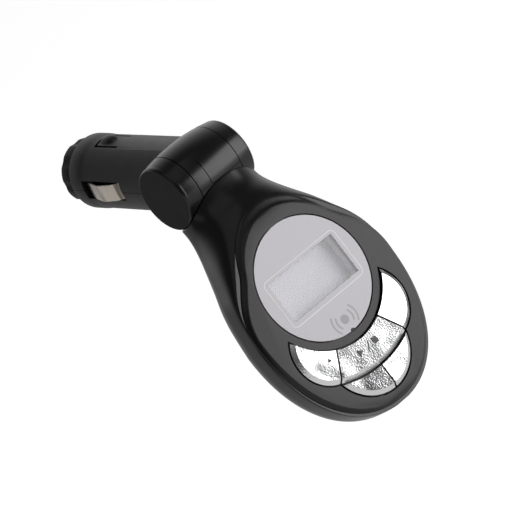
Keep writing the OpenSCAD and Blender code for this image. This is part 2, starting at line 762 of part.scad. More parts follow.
// Wedge between the two lines that part the centre key from its neighbours
module centre_wedge(grow) {
    k = (split_foot[0] - split_top[0]) / (split_foot[1] - split_top[1]);
    apex = split_top[1] - split_top[0] / k - grow * sqrt(1 + k * k) / k;
    far = 2 * low_key_v;
    on_face(0, 0, 0) linear_extrude(2 * key_top_z)
        polygon([[0, -apex], [k * (far - apex), -far], [-k * (far - apex), -far]]);
}

stem_r = 1.6;
// Each stem stands part of the way across its key
side_stem_angle = 41.55;
side_stem_share = 0.342;
play_stem_share = 0.333;
low_stem_share = 0.27;
side_stem_r = lens_clear_r + side_stem_share * side_key_r;
side_stem = [side_stem_r * sin(side_stem_angle), side_stem_r * cos(side_stem_angle)];
arc_foot = arc_v + arc_r;
play_stem = [0, lens_clear_r + play_stem_share * (arc_foot - lens_clear_r)];
low_stem = [9.728 * w_part, arc_foot + low_stem_share * (low_key_v + low_key_r - arc_foot)];
switch_h = 3.5;
switch_side = 5;
main_board_z = 3.9;
main_board_t = 1.6;
board_top = main_board_z + main_board_t;
stem_foot_z = board_top + switch_h + key_travel + 0.1;
module stem(at) on_face(at[0], at[1], stem_foot_z)
    cylinder(r = stem_r, h = key_foot_z - stem_foot_z + fit, $fn = smooth);

module key_right() { color(chrome) in_head() side_key(); }
module key_left() { color(chrome) in_head() mirror([1, 0, 0]) side_key(); }

module key_play() {
    color(chrome) in_head() {
        difference() {
            intersection() {
                on_face(0, arc_v, 0) key_blank(arc_r);
                centre_wedge(-key_gap / 2);
            }
            lens_clearance();
        }
        stem(play_stem);
    }
}

module low_key() {
    difference() {
        on_face(0, low_key_v, 0) key_blank(low_key_r);
        on_face(0, arc_v, 0) cylinder(r = arc_r + key_gap, h = 2 * key_top_z, $fn = fine);
        on_face(key_gap / 2 - low_key_r, low_key_v, 0) bar(2 * low_key_r, 3 * low_key_r, 2 * key_top_z);
    }
    stem(low_stem);
}

module key_low_right() { color(chrome) in_head() low_key(); }
module key_low_left() { color(chrome) in_head() mirror([1, 0, 0]) low_key(); }

module stem_places() {
    for (side = [-1, 1]) {
        on_face(side * side_stem[0], side_stem[1], 0) children();
        on_face(side * low_stem[0], low_stem[1], 0) children();
    }
    on_face(play_stem[0], play_stem[1], 0) children();
}

mat_drop = 0.75;
mat_t = 0.9;
mat_rim = 1.2;
cavity_end = inner_y(neck_l + (head_l - neck_l) * back_end(head_wall));
module key_mat() {
    top = key_foot_z - mat_drop;
    color("#d9d9d4") in_head() difference() {
        union() {
            key_field(key_gap + mat_rim, top - mat_t, top);
            difference() {
                key_field(key_gap + mat_rim, top - fit, ceiling_z - 0.15);
                key_field(key_gap, top - over, ceiling_z + over);
            }
        }
        stem_places() cylinder(r = stem_r + turn_gap, h = key_top_z, $fn = smooth);
        on_face(usb_mouth_x - usb_len - turn_gap, usb_v, usb_z)
            translate([0, -usb_w / 2 - turn_gap, 0]) cube([head_w, usb_w + 2 * turn_gap, usb_h + turn_gap]);
        translate([0, -big / 2 - cavity_end + turn_gap, 0]) bar(big, big, big);
        on_face(0, 0, 0) cylinder(r = lens_clear_r - 1.3, h = 2 * key_top_z, $fn = fine);
    }
}

module key_switches() {
    color("#3a3a3c") in_head() stem_places() translate([0, 0, board_top]) {
        bar(switch_side, switch_side, switch_h * 0.8);
        cylinder(r = stem_r, h = switch_h, $fn = smooth);
    }
}

// Housing shells

post_r = 3.1;
board_post_r = 2.6;
screw_r = 1.1;
head_r = 2.1;
post_rise = 17.9;
upper_post = [21.79 * w_part, lens_s - post_rise];
lower_post = [32.296 * w_part, 81.36 * l_part];
post_top = [ceiling_z + fit, 10.6];
rib_w = 1.4;
rib_end = 40.078 * w_part;
module post_places() {
    for (side = [-1, 1], p = [upper_post, lower_post]) translate([side * p[0], -p[1], 0]) children();
}
// Height of the back skin under a place, and its slopes there
function skin(x, s) = centre_z(s) - fall(s, 0) * pow(1 - pow(x / half_w(s), back_power), 1 / back_power);
probe = 0.5;
function skin_x(x, s) = (skin(x + probe, s) - skin(x - probe, s)) / (2 * probe);
function skin_y(x, s) = (skin(x, s - probe) - skin(x, s + probe)) / (2 * probe);

// Post that stands on the back wall, its foot cut along the middle of the wall
module wall_post(x, s, r, top) {
    lean = -atan(skin_x(x, s));
    difference() {
        translate([x, -s, skin(x, s) - 2 * r]) cylinder(r = r, h = top + 2 * r - skin(x, s), $fn = smooth);
        translate([x, -s, skin(x, s) + head_wall / 2]) rotate([atan(skin_y(x, s) * cos(lean)), lean, 0])
            translate([0, 0, -6 * r]) bar(6 * r, 6 * r, 6 * r);
    }
}

board_post = [29.961 * w_part, -14.861 * l_part];
board_post_low = [22.179 * w_part, 32.746 * l_part];
module board_post_places() {
    for (side = [-1, 1]) {
        on_face(side * board_post[0], board_post[1], 0) children();
        on_face(side * board_post_low[0], board_post_low[1], 0) children();
    }
}

module usb_cut() {
    on_face(usb_mouth_x, usb_v, usb_z + usb_h / 2) translate([-4 * over, -usb_w / 2 - usb_play, -usb_h / 2 - usb_play])
        cube([head_w, usb_w + 2 * usb_play, usb_h + 2 * usb_play]);
}
usb_play = 0.2;
frame_side = 0.4;
usb_mouth_inset = 2.3;
usb_mouth_x = head_w / 2 - usb_mouth_inset;
// The socket's shell ends short of the display frame
usb_len = min(usb_l, usb_mouth_x - screen_w / 2 - frame_side - usb_play);
usb_v = 1.6;
usb_z = board_top;

card_play = 0.25;
card_v = 4.6;
card_socket_t = 2.8;
card_socket_l = 50.584 * w_part;
card_mouth_x = -28.016 * w_part;
card_z = main_board_z - card_socket_t;
card_floor = 0.35;
module card_cut() {
    on_face(card_mouth_x + over, card_v, card_z + card_floor - card_play) translate([-head_w, -card_w / 2 - card_play, 0])
        cube([head_w, card_w + 2 * card_play, card_t + 2 * card_play]);
}

module front_shell() {
    color(black) in_head() {
        difference() {
            half_shell(true);
            neck_saddle();
            key_field(key_gap, ceiling_z - over, seat_z + over);
            on_face(0, 0, ceiling_z - over) bar(screen_w, screen_h, head_wall + 2 * over);
            on_face(0, infrared_v, ceiling_z - over) cylinder(r = infrared_r, h = head_wall + 2 * over, $fn = smooth);
            usb_cut();
        }
        difference() {
            union() {
                for (side = [-1, 1], i = [0, 1]) let (p = [upper_post, lower_post][i])
                    translate([side * p[0], -p[1], parting_z])
                        cylinder(r = post_r, h = post_top[i] - parting_z, $fn = smooth);
                for (side = [-1, 1]) translate([side * (lower_post[0] + rib_end) / 2, -lower_post[1], parting_z])
                    bar(rib_end - lower_post[0], rib_w, post_top[1] - parting_z);
                translate([0, -cavity_start + tongue_l / 2, ear_top + ear_gap])
                    bar(2 * ear_half, tongue_l, parting_z + over - ear_top - ear_gap);
            }
            post_places() translate([0, 0, parting_z - over])
                cylinder(r = screw_r - fit, h = post_bore + over, $fn = smooth);
        }
    }
}
tongue_l = 1.4;
post_bore = 4.6;

// Bores for the screws of the shells, of the board and of the neck
module screw_bores() {
    post_places() translate([0, 0, -back_z - over]) {
        cylinder(r = screw_r + usb_play, h = big, $fn = smooth);
        cylinder(r = head_r + usb_play, h = back_z + over + screw_seat, $fn = smooth);
    }
    board_post_places() translate([0, 0, main_board_z - board_screw_l])
        cylinder(r = small_screw_r - fit, h = board_screw_l + over, $fn = smooth);
    neck_screw_places() translate([0, 0, neck_boss_foot + wall_step])
        cylinder(r = small_screw_r - fit, h = big, $fn = smooth);
}
module rear_shell() {
    color(black) in_head() {
        difference() {
            half_shell(false);
            neck_saddle();
            ear_solid(ear_gap, parting_z);
            screw_bores();
            card_cut();
        }
        difference() {
            union() {
                mirrored_x() for (p = [upper_post, lower_post]) wall_post(p[0], p[1], post_r, parting_z);
                mirrored_x() for (p = [board_post, board_post_low])
                    wall_post(p[0], lens_s + p[1], board_post_r, main_board_z);
                neck_screw_places() translate([0, 0, neck_boss_foot])
                    cylinder(r = ear_flange_l / 2, h = ear_flange_z - ear_gap - neck_boss_foot, $fn = smooth);
            }
            ear_solid(ear_gap, ear_top);
            screw_bores();
        }
    }
}
neck_boss_foot = -3.9;
screw_seat = 3.4;
board_screw_l = 1.9;
small_head_r = 1.7;

// Screws

module screw(shank_r, top_r, length, top_h) {
    cylinder(r = shank_r, h = length, $fn = smooth);
    translate([0, 0, -top_h]) difference() {
        cylinder(r = top_r, h = top_h, $fn = smooth);
        for (a = [0, 90]) rotate([0, 0, a]) translate([0, 0, -over]) bar(top_r, top_r / 4, over + top_h / 2);
    }
}

module shell_screws() {
    color(silver) in_head() post_places() translate([0, 0, screw_seat - fit])
        screw(screw_r - 2 * fit, head_r, parting_z - screw_seat + post_bore - 0.3, 1.4);
}

module board_screws() {
    color(silver) in_head() board_post_places() translate([0, 0, board_top + fit]) mirror([0, 0, 1])
        screw(small_screw_r - 2 * fit, small_head_r, main_board_t + board_screw_l - 0.2, 1);
}

module neck_screws() {
    color(silver) in_head() neck_screw_places() translate([0, 0, ear_top + fit]) mirror([0, 0, 1])
        screw(small_screw_r - 2 * fit, small_head_r, ear_top - neck_boss_foot - 2 * wall_step, 1);
}

// Face: plate, lens and display

module face_plate() {
    lip = 0.2;
    rings = [[collar_foot, wing_foot, seat_z], [collar_foot, wing_foot, seat_z + lip],
             [collar_top, wing_top, face_z]];
    color(gunmetal) in_head() difference() {
        polyhedron(points = [for (r = rings) each [for (p = outline(r[0], r[1])) [p[0], p[1], r[2] + fit]]],
                   faces = tube_faces(len(rings), 2 * plate_steps));
        on_face(0, 0, 0) cylinder(r = lens_r + lens_gap, h = 2 * face_z, $fn = fine);
        key_field(key_gap, 0, 2 * face_z);
    }
}
lens_gap = 0.25;

module lens() {
    color(silver) in_head() difference() {
        on_face(0, 0, face_z - lens_t) cylinder(r = lens_r, h = lens_t, $fn = fine);
        on_face(0, lens_r + notch_r / 3, 0) cylinder(r = notch_r, h = 2 * face_z, $fn = smooth);
    }
}
notch_r = 0.8;

glass_t = 1.8;
light_t = 2;
glass_h = screen_h + 3.2;
glass_w = screen_w + 0.4;
glass_top = face_z - screen_depth;
module display_frame() {
    h = glass_h + 2 * frame_end;
    w = screen_w + 2 * frame_side;
    color("#b9b6bd") in_head() difference() {
        on_face(0, 0, board_top) bar(w, h, ceiling_z - board_top - fit);
        on_face(0, 0, glass_top - over) bar(screen_w, screen_h, face_z);
        on_face(0, 0, glass_top - glass_t - light_t - 2 * fit) bar(w + over, glass_h + 2 * fit, glass_t + light_t + 2 * fit);
        on_face(0, 0, board_top - over) bar(w - 4 * frame_end, screen_h, glass_top - glass_t - light_t - board_top + 2 * over);
    }
}
frame_end = 1;

module display_glass() {
    color("#8b8a92") in_head() on_face(0, 0, glass_top - glass_t) bar(glass_w, glass_h, glass_t - fit);
}

module backlight() {
    color("#e8ecef") in_head() on_face(0, 0, glass_top - glass_t - light_t) bar(glass_w, glass_h, light_t - fit);
}

// Main board and what stands on it

board_start = upper_post[1] + post_r + 2 * turn_gap;
board_end = 91.94 * l_part;
board_steps = 18;
board_clear = 0.5;
board_neck_w = 28.405 * w_part;
// Half-width of the cavity at a height on the back side, at a place along the head
function cavity_half(y, z) = let (
        s = y < neck_l ? y : neck_l + (y - neck_l) * (head_l - neck_l) / (head_l - head_wall - neck_l))
    reach(s, head_wall) * pow(1 - pow((centre_z(s) - z) / fall(s, head_wall), back_power), 1 / back_power);
function board_half(y) = min(cavity_half(y, main_board_z) - board_clear, board_neck_w + (y - board_start));
module main_board() {
    places = [for (i = [0:board_steps]) board_start + (board_end - board_start) * i / board_steps];
    color(green) in_head() difference() {
        translate([0, 0, main_board_z]) linear_extrude(main_board_t)
            polygon(concat([for (s = places) [board_half(s), -s]],
                           [for (i = [board_steps:-1:0]) [-board_half(places[i]), -places[i]]]));
        board_post_places() cylinder(r = small_screw_r + usb_play, h = big, $fn = smooth);
        post_places() cylinder(r = post_r + turn_gap, h = big, $fn = smooth);
    }
}

usb_wall = 0.35;
module usb_socket() {
    color(silver) in_head() on_face(usb_mouth_x - usb_len, usb_v, usb_z) difference() {
        translate([0, -usb_w / 2, 0]) cube([usb_len, usb_w, usb_h]);
        translate([usb_wall, -usb_w / 2 + usb_wall, usb_wall])
            cube([usb_len, usb_w - 2 * usb_wall, usb_h - 2 * usb_wall]);
    }
}

tongue_t = 1.8;
tongue_w = 11.1;
tongue_back = 1.4;
tongue_room = 0.7;
tongue_short = 1.2;
module usb_tongue() {
    color("#e9e9e6") in_head() on_face(usb_mouth_x - usb_len + usb_wall + fit, usb_v, usb_z) {
        translate([0, -usb_w / 2 + usb_wall + fit, usb_wall + fit])
            cube([tongue_back, usb_w - 2 * (usb_wall + fit), usb_h - 2 * (usb_wall + fit)]);
        translate([0, -tongue_w / 2, usb_h - usb_wall - tongue_t - tongue_room])
            cube([usb_len - tongue_short, tongue_w, tongue_t]);
    }
}

module card_socket() {
    color(silver) in_head() on_face(card_mouth_x, card_v, card_z) difference() {
        translate([0, -card_w / 2 - 1.6, 0]) cube([card_socket_l, card_w + 3.2, card_socket_t - fit]);
        translate([-over, -card_w / 2 - card_play / 2, card_floor])
            cube([card_socket_l - 1 + over, card_w + card_play, card_t + card_play / 2]);
    }
}

infrared_v = 14;
infrared_r = 1.6;
eye_w = 4.6;
eye_h = 5.4;
eye_clear = 0.3;
module infrared_eye() {
    color("#241b20") in_head() on_face(0, infrared_v, board_top) {
        bar(eye_w, eye_w / 2, eye_h);
        translate([0, 0, eye_h - fit])
            cylinder(r = eye_w / 4, h = ceiling_z - board_top - eye_h - eye_clear, $fn = smooth);
    }
}
// Places on the board and sizes of its chips, crystal, capacitor and lead connector
decoder_at = [-3.6, 0];
decoder_w = 10;
decoder_h = 1.3;
radio_at = [6.4, -1];
radio_w = 5;
radio_d = 4;
radio_h = 1.2;
crystal_at = [-14.591 * w_part, -12.5];
crystal_w = 10.2;
crystal_d = 3.4;
capacitor_at = [16.732 * w_part, -12.4];
capacitor_r = 2.4;
capacitor_h = 5.2;
connector_v = -12.6;
connector_w = 4;
connector_d = 3;
connector_h = 3.6;
module decoder_chip() {
    color("#222226") in_head() on_face(decoder_at[0], decoder_at[1], board_top) bar(decoder_w, decoder_w, decoder_h);
}
module radio_chip() {
    color("#222226") in_head() on_face(radio_at[0], radio_at[1], board_top) bar(radio_w, radio_d, radio_h);
}
module crystal() {
    color(silver) in_head() on_face(crystal_at[0], crystal_at[1], board_top) bar(crystal_w, crystal_d, crystal_d);
}
module head_capacitor() {
    color("#2b3a55") in_head() on_face(capacitor_at[0], capacitor_at[1], board_top)
        cylinder(r = capacitor_r, h = capacitor_h, $fn = smooth);
}
module lead_connector() {
    color("#e9e4d6") in_head() on_face(0, connector_v, board_top) bar(connector_w, connector_d, connector_h);
}
// Leads in the neck: up from the hub's channel to the connector
lead_r = 0.6;
lead_z = (ear_top + ear_bottom) / 2;
lead_lap = 2.6;
lead_turn_s = board_start - lead_lap;
lead_end_z = board_top + 2;
module head_wires() {
    color("#8a2020") in_head() mirrored_x() translate([lead_r + fit, 0, 0]) {
        translate([0, -hub_r, lead_z]) rotate([90, 0, 0]) cylinder(r = lead_r, h = lead_turn_s - hub_r, $fn = smooth);
        translate([0, -lead_turn_s, lead_z]) sphere(r = lead_r, $fn = smooth);
        translate([0, -lead_turn_s, lead_z]) cylinder(r = lead_r, h = lead_end_z - lead_z, $fn = smooth);
        translate([0, -lead_turn_s, lead_end_z]) sphere(r = lead_r, $fn = smooth);
        translate([0, -lead_turn_s, lead_end_z]) rotate([90, 0, 0])
            cylinder(r = lead_r, h = lens_s + connector_v - connector_d / 2 - lead_turn_s - fit, $fn = smooth);
    }
}

plug_shell_upper();
plug_shell_lower();
hinge_cap_left();
hinge_cap_right();
hinge_pins();
friction_washers();
plug_board();
plug_coil();
plug_capacitor();
fuse_terminal();
ground_spring_left();
ground_spring_right();
nose_bush();
nose_ring();
contact_pin();
fuse();
contact_spring();
plug_wires();
hinge_hub();
front_shell();
rear_shell();
face_plate();
lens();
display_frame();
display_glass();
backlight();
key_mat();
key_left();
key_right();
key_play();
key_low_left();
key_low_right();
main_board();
key_switches();
usb_socket();
usb_tongue();
card_socket();
infrared_eye();
decoder_chip();
radio_chip();
crystal();
head_capacitor();
lead_connector();
head_wires();
board_screws();
shell_screws();
neck_screws();
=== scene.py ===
import math

import bmesh
import bpy
import numpy as np
from mathutils import Matrix, Vector


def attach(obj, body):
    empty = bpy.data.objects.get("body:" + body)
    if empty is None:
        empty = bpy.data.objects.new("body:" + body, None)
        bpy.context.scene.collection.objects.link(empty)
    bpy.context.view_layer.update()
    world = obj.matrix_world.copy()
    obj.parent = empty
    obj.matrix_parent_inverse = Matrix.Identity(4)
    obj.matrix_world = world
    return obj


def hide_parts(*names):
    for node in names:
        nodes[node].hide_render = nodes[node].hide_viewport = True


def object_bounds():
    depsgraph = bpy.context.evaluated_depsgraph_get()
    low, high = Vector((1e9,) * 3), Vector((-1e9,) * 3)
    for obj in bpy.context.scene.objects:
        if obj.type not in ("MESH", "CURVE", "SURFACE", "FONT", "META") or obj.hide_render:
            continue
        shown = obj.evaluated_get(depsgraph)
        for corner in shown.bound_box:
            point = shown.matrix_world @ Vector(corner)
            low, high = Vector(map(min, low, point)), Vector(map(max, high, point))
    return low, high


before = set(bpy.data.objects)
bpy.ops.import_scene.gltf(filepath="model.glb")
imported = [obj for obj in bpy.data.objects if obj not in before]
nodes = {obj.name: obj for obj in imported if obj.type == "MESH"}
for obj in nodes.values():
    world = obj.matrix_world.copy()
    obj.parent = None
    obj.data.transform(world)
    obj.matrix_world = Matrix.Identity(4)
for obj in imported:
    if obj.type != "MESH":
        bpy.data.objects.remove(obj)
cad_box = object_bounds()

# Camera
# A long lens from the front left and above, rolled, as solved from the photograph.
# Its axes are the rows of that solution, and the place follows from its distance.
view_rows = np.array([[0.6709344, -0.62381939, -0.40086956],
                      [0.54628773, 0.05027288, 0.83608753],
                      [-0.50141474, -0.77995, 0.37451468]])
view_place = (-0.44226, -0.73928, 0.30408)
view_focus_px = 3330.47
view_frame_px = 520
sensor_mm = 36
near_clip, far_clip = 0.01, 20
stage = bpy.context.scene
camera_data = bpy.data.cameras.new("camera")
camera_data.sensor_width = sensor_mm
camera_data.lens = view_focus_px / view_frame_px * sensor_mm
camera_data.clip_start, camera_data.clip_end = near_clip, far_clip
camera = bpy.data.objects.new("camera", camera_data)
stage.collection.objects.link(camera)
camera.matrix_world = Matrix.Translation(Vector(view_place)) @ Matrix(view_rows.T.tolist()).to_4x4()
stage.camera = camera
stage.view_settings.view_transform = "Standard"
stage.view_settings.look = "None"


# World
# The backdrop behind the object is white and fades to a dim room on the camera's side, so that
# polished black shows white only at a grazing angle.
def add_node(tree, kind, values=None, **settings):
    """A new shader node, with settings by name and values on its sockets by name or number."""
    node = tree.nodes.new("ShaderNode" + kind)
    for name, value in settings.items():
        setattr(node, name, value)
    for socket, value in (values or {}).items():
        node.inputs[socket].default_value = value
    return node


def wire(tree, *pairs):
    """Links each pair of an output and an input."""
    for source, target in pairs:
        tree.links.new(source, target)


backdrop_white, room_dim = 1.0, 0.11
fade_from, fade_to = -0.1, 0.75
world = bpy.data.worlds.new("room")
stage.world = world
world.use_nodes = True
room = world.node_tree
room.nodes.clear()
room_out = add_node(room, "OutputWorld")
room_way = add_node(room, "TexCoord")
room_dot = add_node(room, "VectorMath", {1: tuple(-view_rows[2])}, operation="DOT_PRODUCT")
room_fade = add_node(room, "MapRange", {"From Min": fade_from, "From Max": fade_to, "To Min": room_dim,
                                        "To Max": backdrop_white}, interpolation_type="SMOOTHSTEP")
room_light = add_node(room, "Background", {"Color": (1, 1, 1, 1)})
wire(room, (room_way.outputs["Generated"], room_dot.inputs[0]),
     (room_dot.outputs["Value"], room_fade.inputs["Value"]),
     (room_fade.outputs["Result"], room_light.inputs["Strength"]),
     (room_light.outputs[0], room_out.inputs["Surface"]))

# Floor
# A pale sheet under the object, white to the camera but for a soft shadow. Gloss and glass see part
# of that white. From below it is clear.
floor_drop, floor_half = 0.03, 3.0
sheet_tone, seen_glow, mirror_share = 0.72, 0.75, 0.4
floor_z = cad_box[0][2] - floor_drop
floor_mesh = bpy.data.meshes.new("floor")
floor_mesh.from_pydata([(-floor_half, -floor_half, floor_z), (floor_half, -floor_half, floor_z),
                        (floor_half, floor_half, floor_z), (-floor_half, floor_half, floor_z)],
                       [], [(0, 1, 2, 3)])
floor = bpy.data.objects.new("floor", floor_mesh)
stage.collection.objects.link(floor)
floor_mat = bpy.data.materials.new("floor_sheet")
floor_mat.use_nodes = True
sheet = floor_mat.node_tree
sheet.nodes.clear()
sheet_out = add_node(sheet, "OutputMaterial")
sheet_path = add_node(sheet, "LightPath")
sheet_side = add_node(sheet, "NewGeometry")
sheet_lit = add_node(sheet, "BsdfDiffuse", {"Color": (sheet_tone, sheet_tone, sheet_tone, 1)})
sheet_clear = add_node(sheet, "Math", operation="MAXIMUM")
sheet_part = add_node(sheet, "Math", {1: mirror_share}, operation="MULTIPLY")
sheet_any = add_node(sheet, "Math", operation="MAXIMUM")
sheet_seen = add_node(sheet, "Math", {1: seen_glow}, operation="MULTIPLY")
sheet_glow = add_node(sheet, "Emission")
sheet_sum = add_node(sheet, "AddShader")
sheet_under = add_node(sheet, "BsdfTransparent")
sheet_mix = add_node(sheet, "MixShader")
wire(sheet, (sheet_path.outputs["Is Glossy Ray"], sheet_clear.inputs[0]),
     (sheet_path.outputs["Is Transmission Ray"], sheet_clear.inputs[1]),
     (sheet_clear.outputs[0], sheet_part.inputs[0]),
     (sheet_path.outputs["Is Camera Ray"], sheet_any.inputs[0]),
     (sheet_part.outputs[0], sheet_any.inputs[1]),
     (sheet_any.outputs[0], sheet_seen.inputs[0]),
     (sheet_seen.outputs[0], sheet_glow.inputs["Strength"]),
     (sheet_lit.outputs[0], sheet_sum.inputs[0]),
     (sheet_glow.outputs[0], sheet_sum.inputs[1]),
     (sheet_side.outputs["Backfacing"], sheet_mix.inputs[0]),
     (sheet_sum.outputs[0], sheet_mix.inputs[1]),
     (sheet_under.outputs[0], sheet_mix.inputs[2]),
     (sheet_mix.outputs[0], sheet_out.inputs["Surface"]))
floor_mesh.materials.append(floor_mat)

# Lights
# A soft box where the head's face and the knuckle mirror it to the camera, a faint one overhead and a
# faint one on the left. Each is aimed at the device, and its power is radiance times area times pi.
light_aim = Vector((0, -0.06, -0.02))
light_boxes = (("face_box", (0.62, -0.76, 0.20), 0.85, (0.75, 0.60), 3.4),
               ("top_box", (-0.12, -0.35, 0.93), 0.90, (0.90, 0.70), 0.25),
               ("left_box", (-0.93, 0.05, 0.36), 1.00, (0.30, 0.70), 0.3))
for light_name, light_way, light_far, light_size, light_radiance in light_boxes:
    light = bpy.data.lights.new(light_name, "AREA")
    light.shape = "RECTANGLE"
    light.size, light.size_y = light_size
    light.energy = light_radiance * light_size[0] * light_size[1] * math.pi
    light_obj = bpy.data.objects.new(light_name, light)
    light_obj.location = light_aim + Vector(light_way).normalized() * light_far
    light_obj.rotation_euler = (-Vector(light_way)).to_track_quat("-Z", "Y").to_euler()
    stage.collection.objects.link(light_obj)

# Head housing
# Two half shells of polished black plastic on one form, which grows out of the knuckle's saddle into
# an egg with a flat seat for the plate. They meet on a plane and are screwed from the back.
tilt = math.radians(68)
hinge_y = -41.5
neck_l, head_l, head_half, neck_half = 46.0, 79.4, 25.7, 13.0
mid_z, seat_z, back_z, parting_z, wall = 10.5, 14.4, 3.0, 5.0, 1.6
tail_power, back_power, keel_power = 2.15, 2.3, 2.5
neck_start, hollow_start, neck_steps, tail_steps = 3.2, 13, 70, 45
tip_from, tip_to, tip_steps = 0.954, 0.9975, 9
outer_n, inner_n = 121, 41
seat_round, inner_round, roof_thin = 0.5, 0.2, 0.1
tip_depth, steepest = 0.3, 0.9998

# Columns: share of the neck's length, share of the head's extra half-width, of the widest level, of
# the seat's height and of the back's depth, and the power of the upper corners.
neck_table = np.array([
    [0.07, 0.04, -0.22, 0.69, 1.83, 2.3], [0.20, 0.02, -0.06, 0.79, 1.83, 2.3],
    [0.28, 0.05, 0.06, 0.93, 1.80, 2.6], [0.38, 0.19, 0.28, 1.05, 1.70, 3.1],
    [0.49, 0.40, 0.54, 1.11, 1.52, 3.8], [0.60, 0.60, 0.73, 1.13, 1.31, 4.6],
    [0.70, 0.78, 0.86, 1.14, 1.15, 5.7], [0.80, 0.90, 0.95, 1.146, 1.05, 7.0],
    [0.91, 0.97, 1.0, 1.146, 1.0, 8.0], [1.00, 1.00, 1.0, 1.146, 1.0, 8.0]])


def to_row(points):
    """Head-local millimetres (across, along the head, towards the face) to row metres.

    It is a turn by the tilt about the knuckle's axis.
    """
    p = np.asarray(points, float)
    c, s = math.cos(tilt), math.sin(tilt)
    return np.c_[p[:, 0], -p[:, 1] * c - p[:, 2] * s + hinge_y, -p[:, 1] * s + p[:, 2] * c] / 1000


def along_head(points):
    """How far row points in millimetres lie along the head."""
    return -(points[:, 1] - hinge_y) * math.cos(tilt) - points[:, 2] * math.sin(tilt)


def above_head(points):
    """How far row points in millimetres lie towards the face."""
    return -(points[:, 1] - hinge_y) * math.sin(tilt) + points[:, 2] * math.cos(tilt)


def blend(q, k):
    """Cubic Hermite curve through column k of the neck table, with slopes from the neighbours."""
    t = neck_table
    i = int(np.clip(np.searchsorted(t[:, 0], q) - 1, 0, len(t) - 2))

    def slope(j):
        """Rise over run between the neighbours of row j."""
        a, b = max(j - 1, 0), min(j + 1, len(t) - 1)
        return (t[b, k] - t[a, k]) / (t[b, 0] - t[a, 0])
    d = t[i + 1, 0] - t[i, 0]
    u = float(np.clip((q - t[i, 0]) / d, 0, 1))
    return (t[i, k] * (1 + 2 * u) * (1 - u) ** 2 + slope(i) * d * u * (1 - u) ** 2
            + t[i + 1, k] * u * u * (3 - 2 * u) - slope(i + 1) * d * u * u * (1 - u))


def round_end(t, p):
    """The round end of the egg: (1 - t^p)^(1/p)."""
    return np.maximum(0.0, 1 - t ** p) ** (1 / p)


def section(s, side_wall):
    """Half-width, widest level, height above it and below it, and corner power of the section at s.

    All lie inside the skin by a wall. On the neck they come from the table, on the tail from the egg.
    """
    tail = max(0.0, (s - neck_l) / (head_l - neck_l))
    q = min(s, neck_l) / neck_l
    w_end, z_end = (1, 1) if s < neck_l else (round_end(tail, tail_power), round_end(tail, keel_power))
    half = neck_half + (head_half - neck_half) * blend(q, 1) if s < neck_l else head_half * w_end
    centre = mid_z * blend(q, 2)
    rear = -back_z * blend(q, 4) if s < neck_l else mid_z - (mid_z + back_z) * z_end
    return (half - side_wall * w_end, centre, seat_z * blend(q, 3) - centre - side_wall,
            centre - rear - side_wall * z_end, blend(q, 5))


def soft_min(z, roof, r):
    """The smaller of two heights, rounded over r where they meet."""
    h = np.maximum(r - np.abs(z - roof), 0) / r
    return np.minimum(z, roof) - h * h * r / 4


def arc(s, count, side_wall, roof, front, y, r):
    """Points of one section on the face side of the parting plane, or on the back.

    The outline is the superellipse x = W cos(a)^(2/p), z = c + h sin(a)^(2/p), with half-width W,
    widest level c and height h above or below it, cut flat at the roof with a small round.
    """
    w, c, up, down, corner = section(s, side_wall)
    d = parting_z - c
    if d >= 0:
        a0 = math.asin((d / up) ** (corner / 2))
    else:
        a0 = -math.asin(min(steepest, (-d / down) ** (back_power / 2)))
    start, end = (a0, math.pi - a0) if front else (math.pi - a0, 2 * math.pi + a0)
    a = np.linspace(start, end, count + 1)
    upper = np.sin(a) >= 0
    p = np.where(upper, corner, back_power)
    x = w * np.sign(np.cos(a)) * np.abs(np.cos(a)) ** (2 / p)
    z = c + np.where(upper, up, down) * np.sign(np.sin(a)) * np.abs(np.sin(a)) ** (2 / p)
    return np.c_[x, np.full(count + 1, y), soft_min(z, roof, r)]


def back_end(side_wall):
    """Share of the tail where a section still reaches tip_depth behind the parting plane."""
    h = mid_z + back_z - side_wall
    return (1 - ((mid_z - parting_z + tip_depth) / h) ** keel_power) ** (1 / keel_power)


def quads(rows, count, around=True, back=False):
    """Faces of a grid: around joins each row's ends, and back joins the last row to the first."""
    i = np.arange(count if around else count - 1)
    j = np.arange(rows if back else rows - 1)[:, None]
    near, far = j * count, (j + 1) % rows * count
    step = (i + 1) % count
    return np.stack([near + i, near + step, far + step, far + i], -1).reshape(-1, 4)


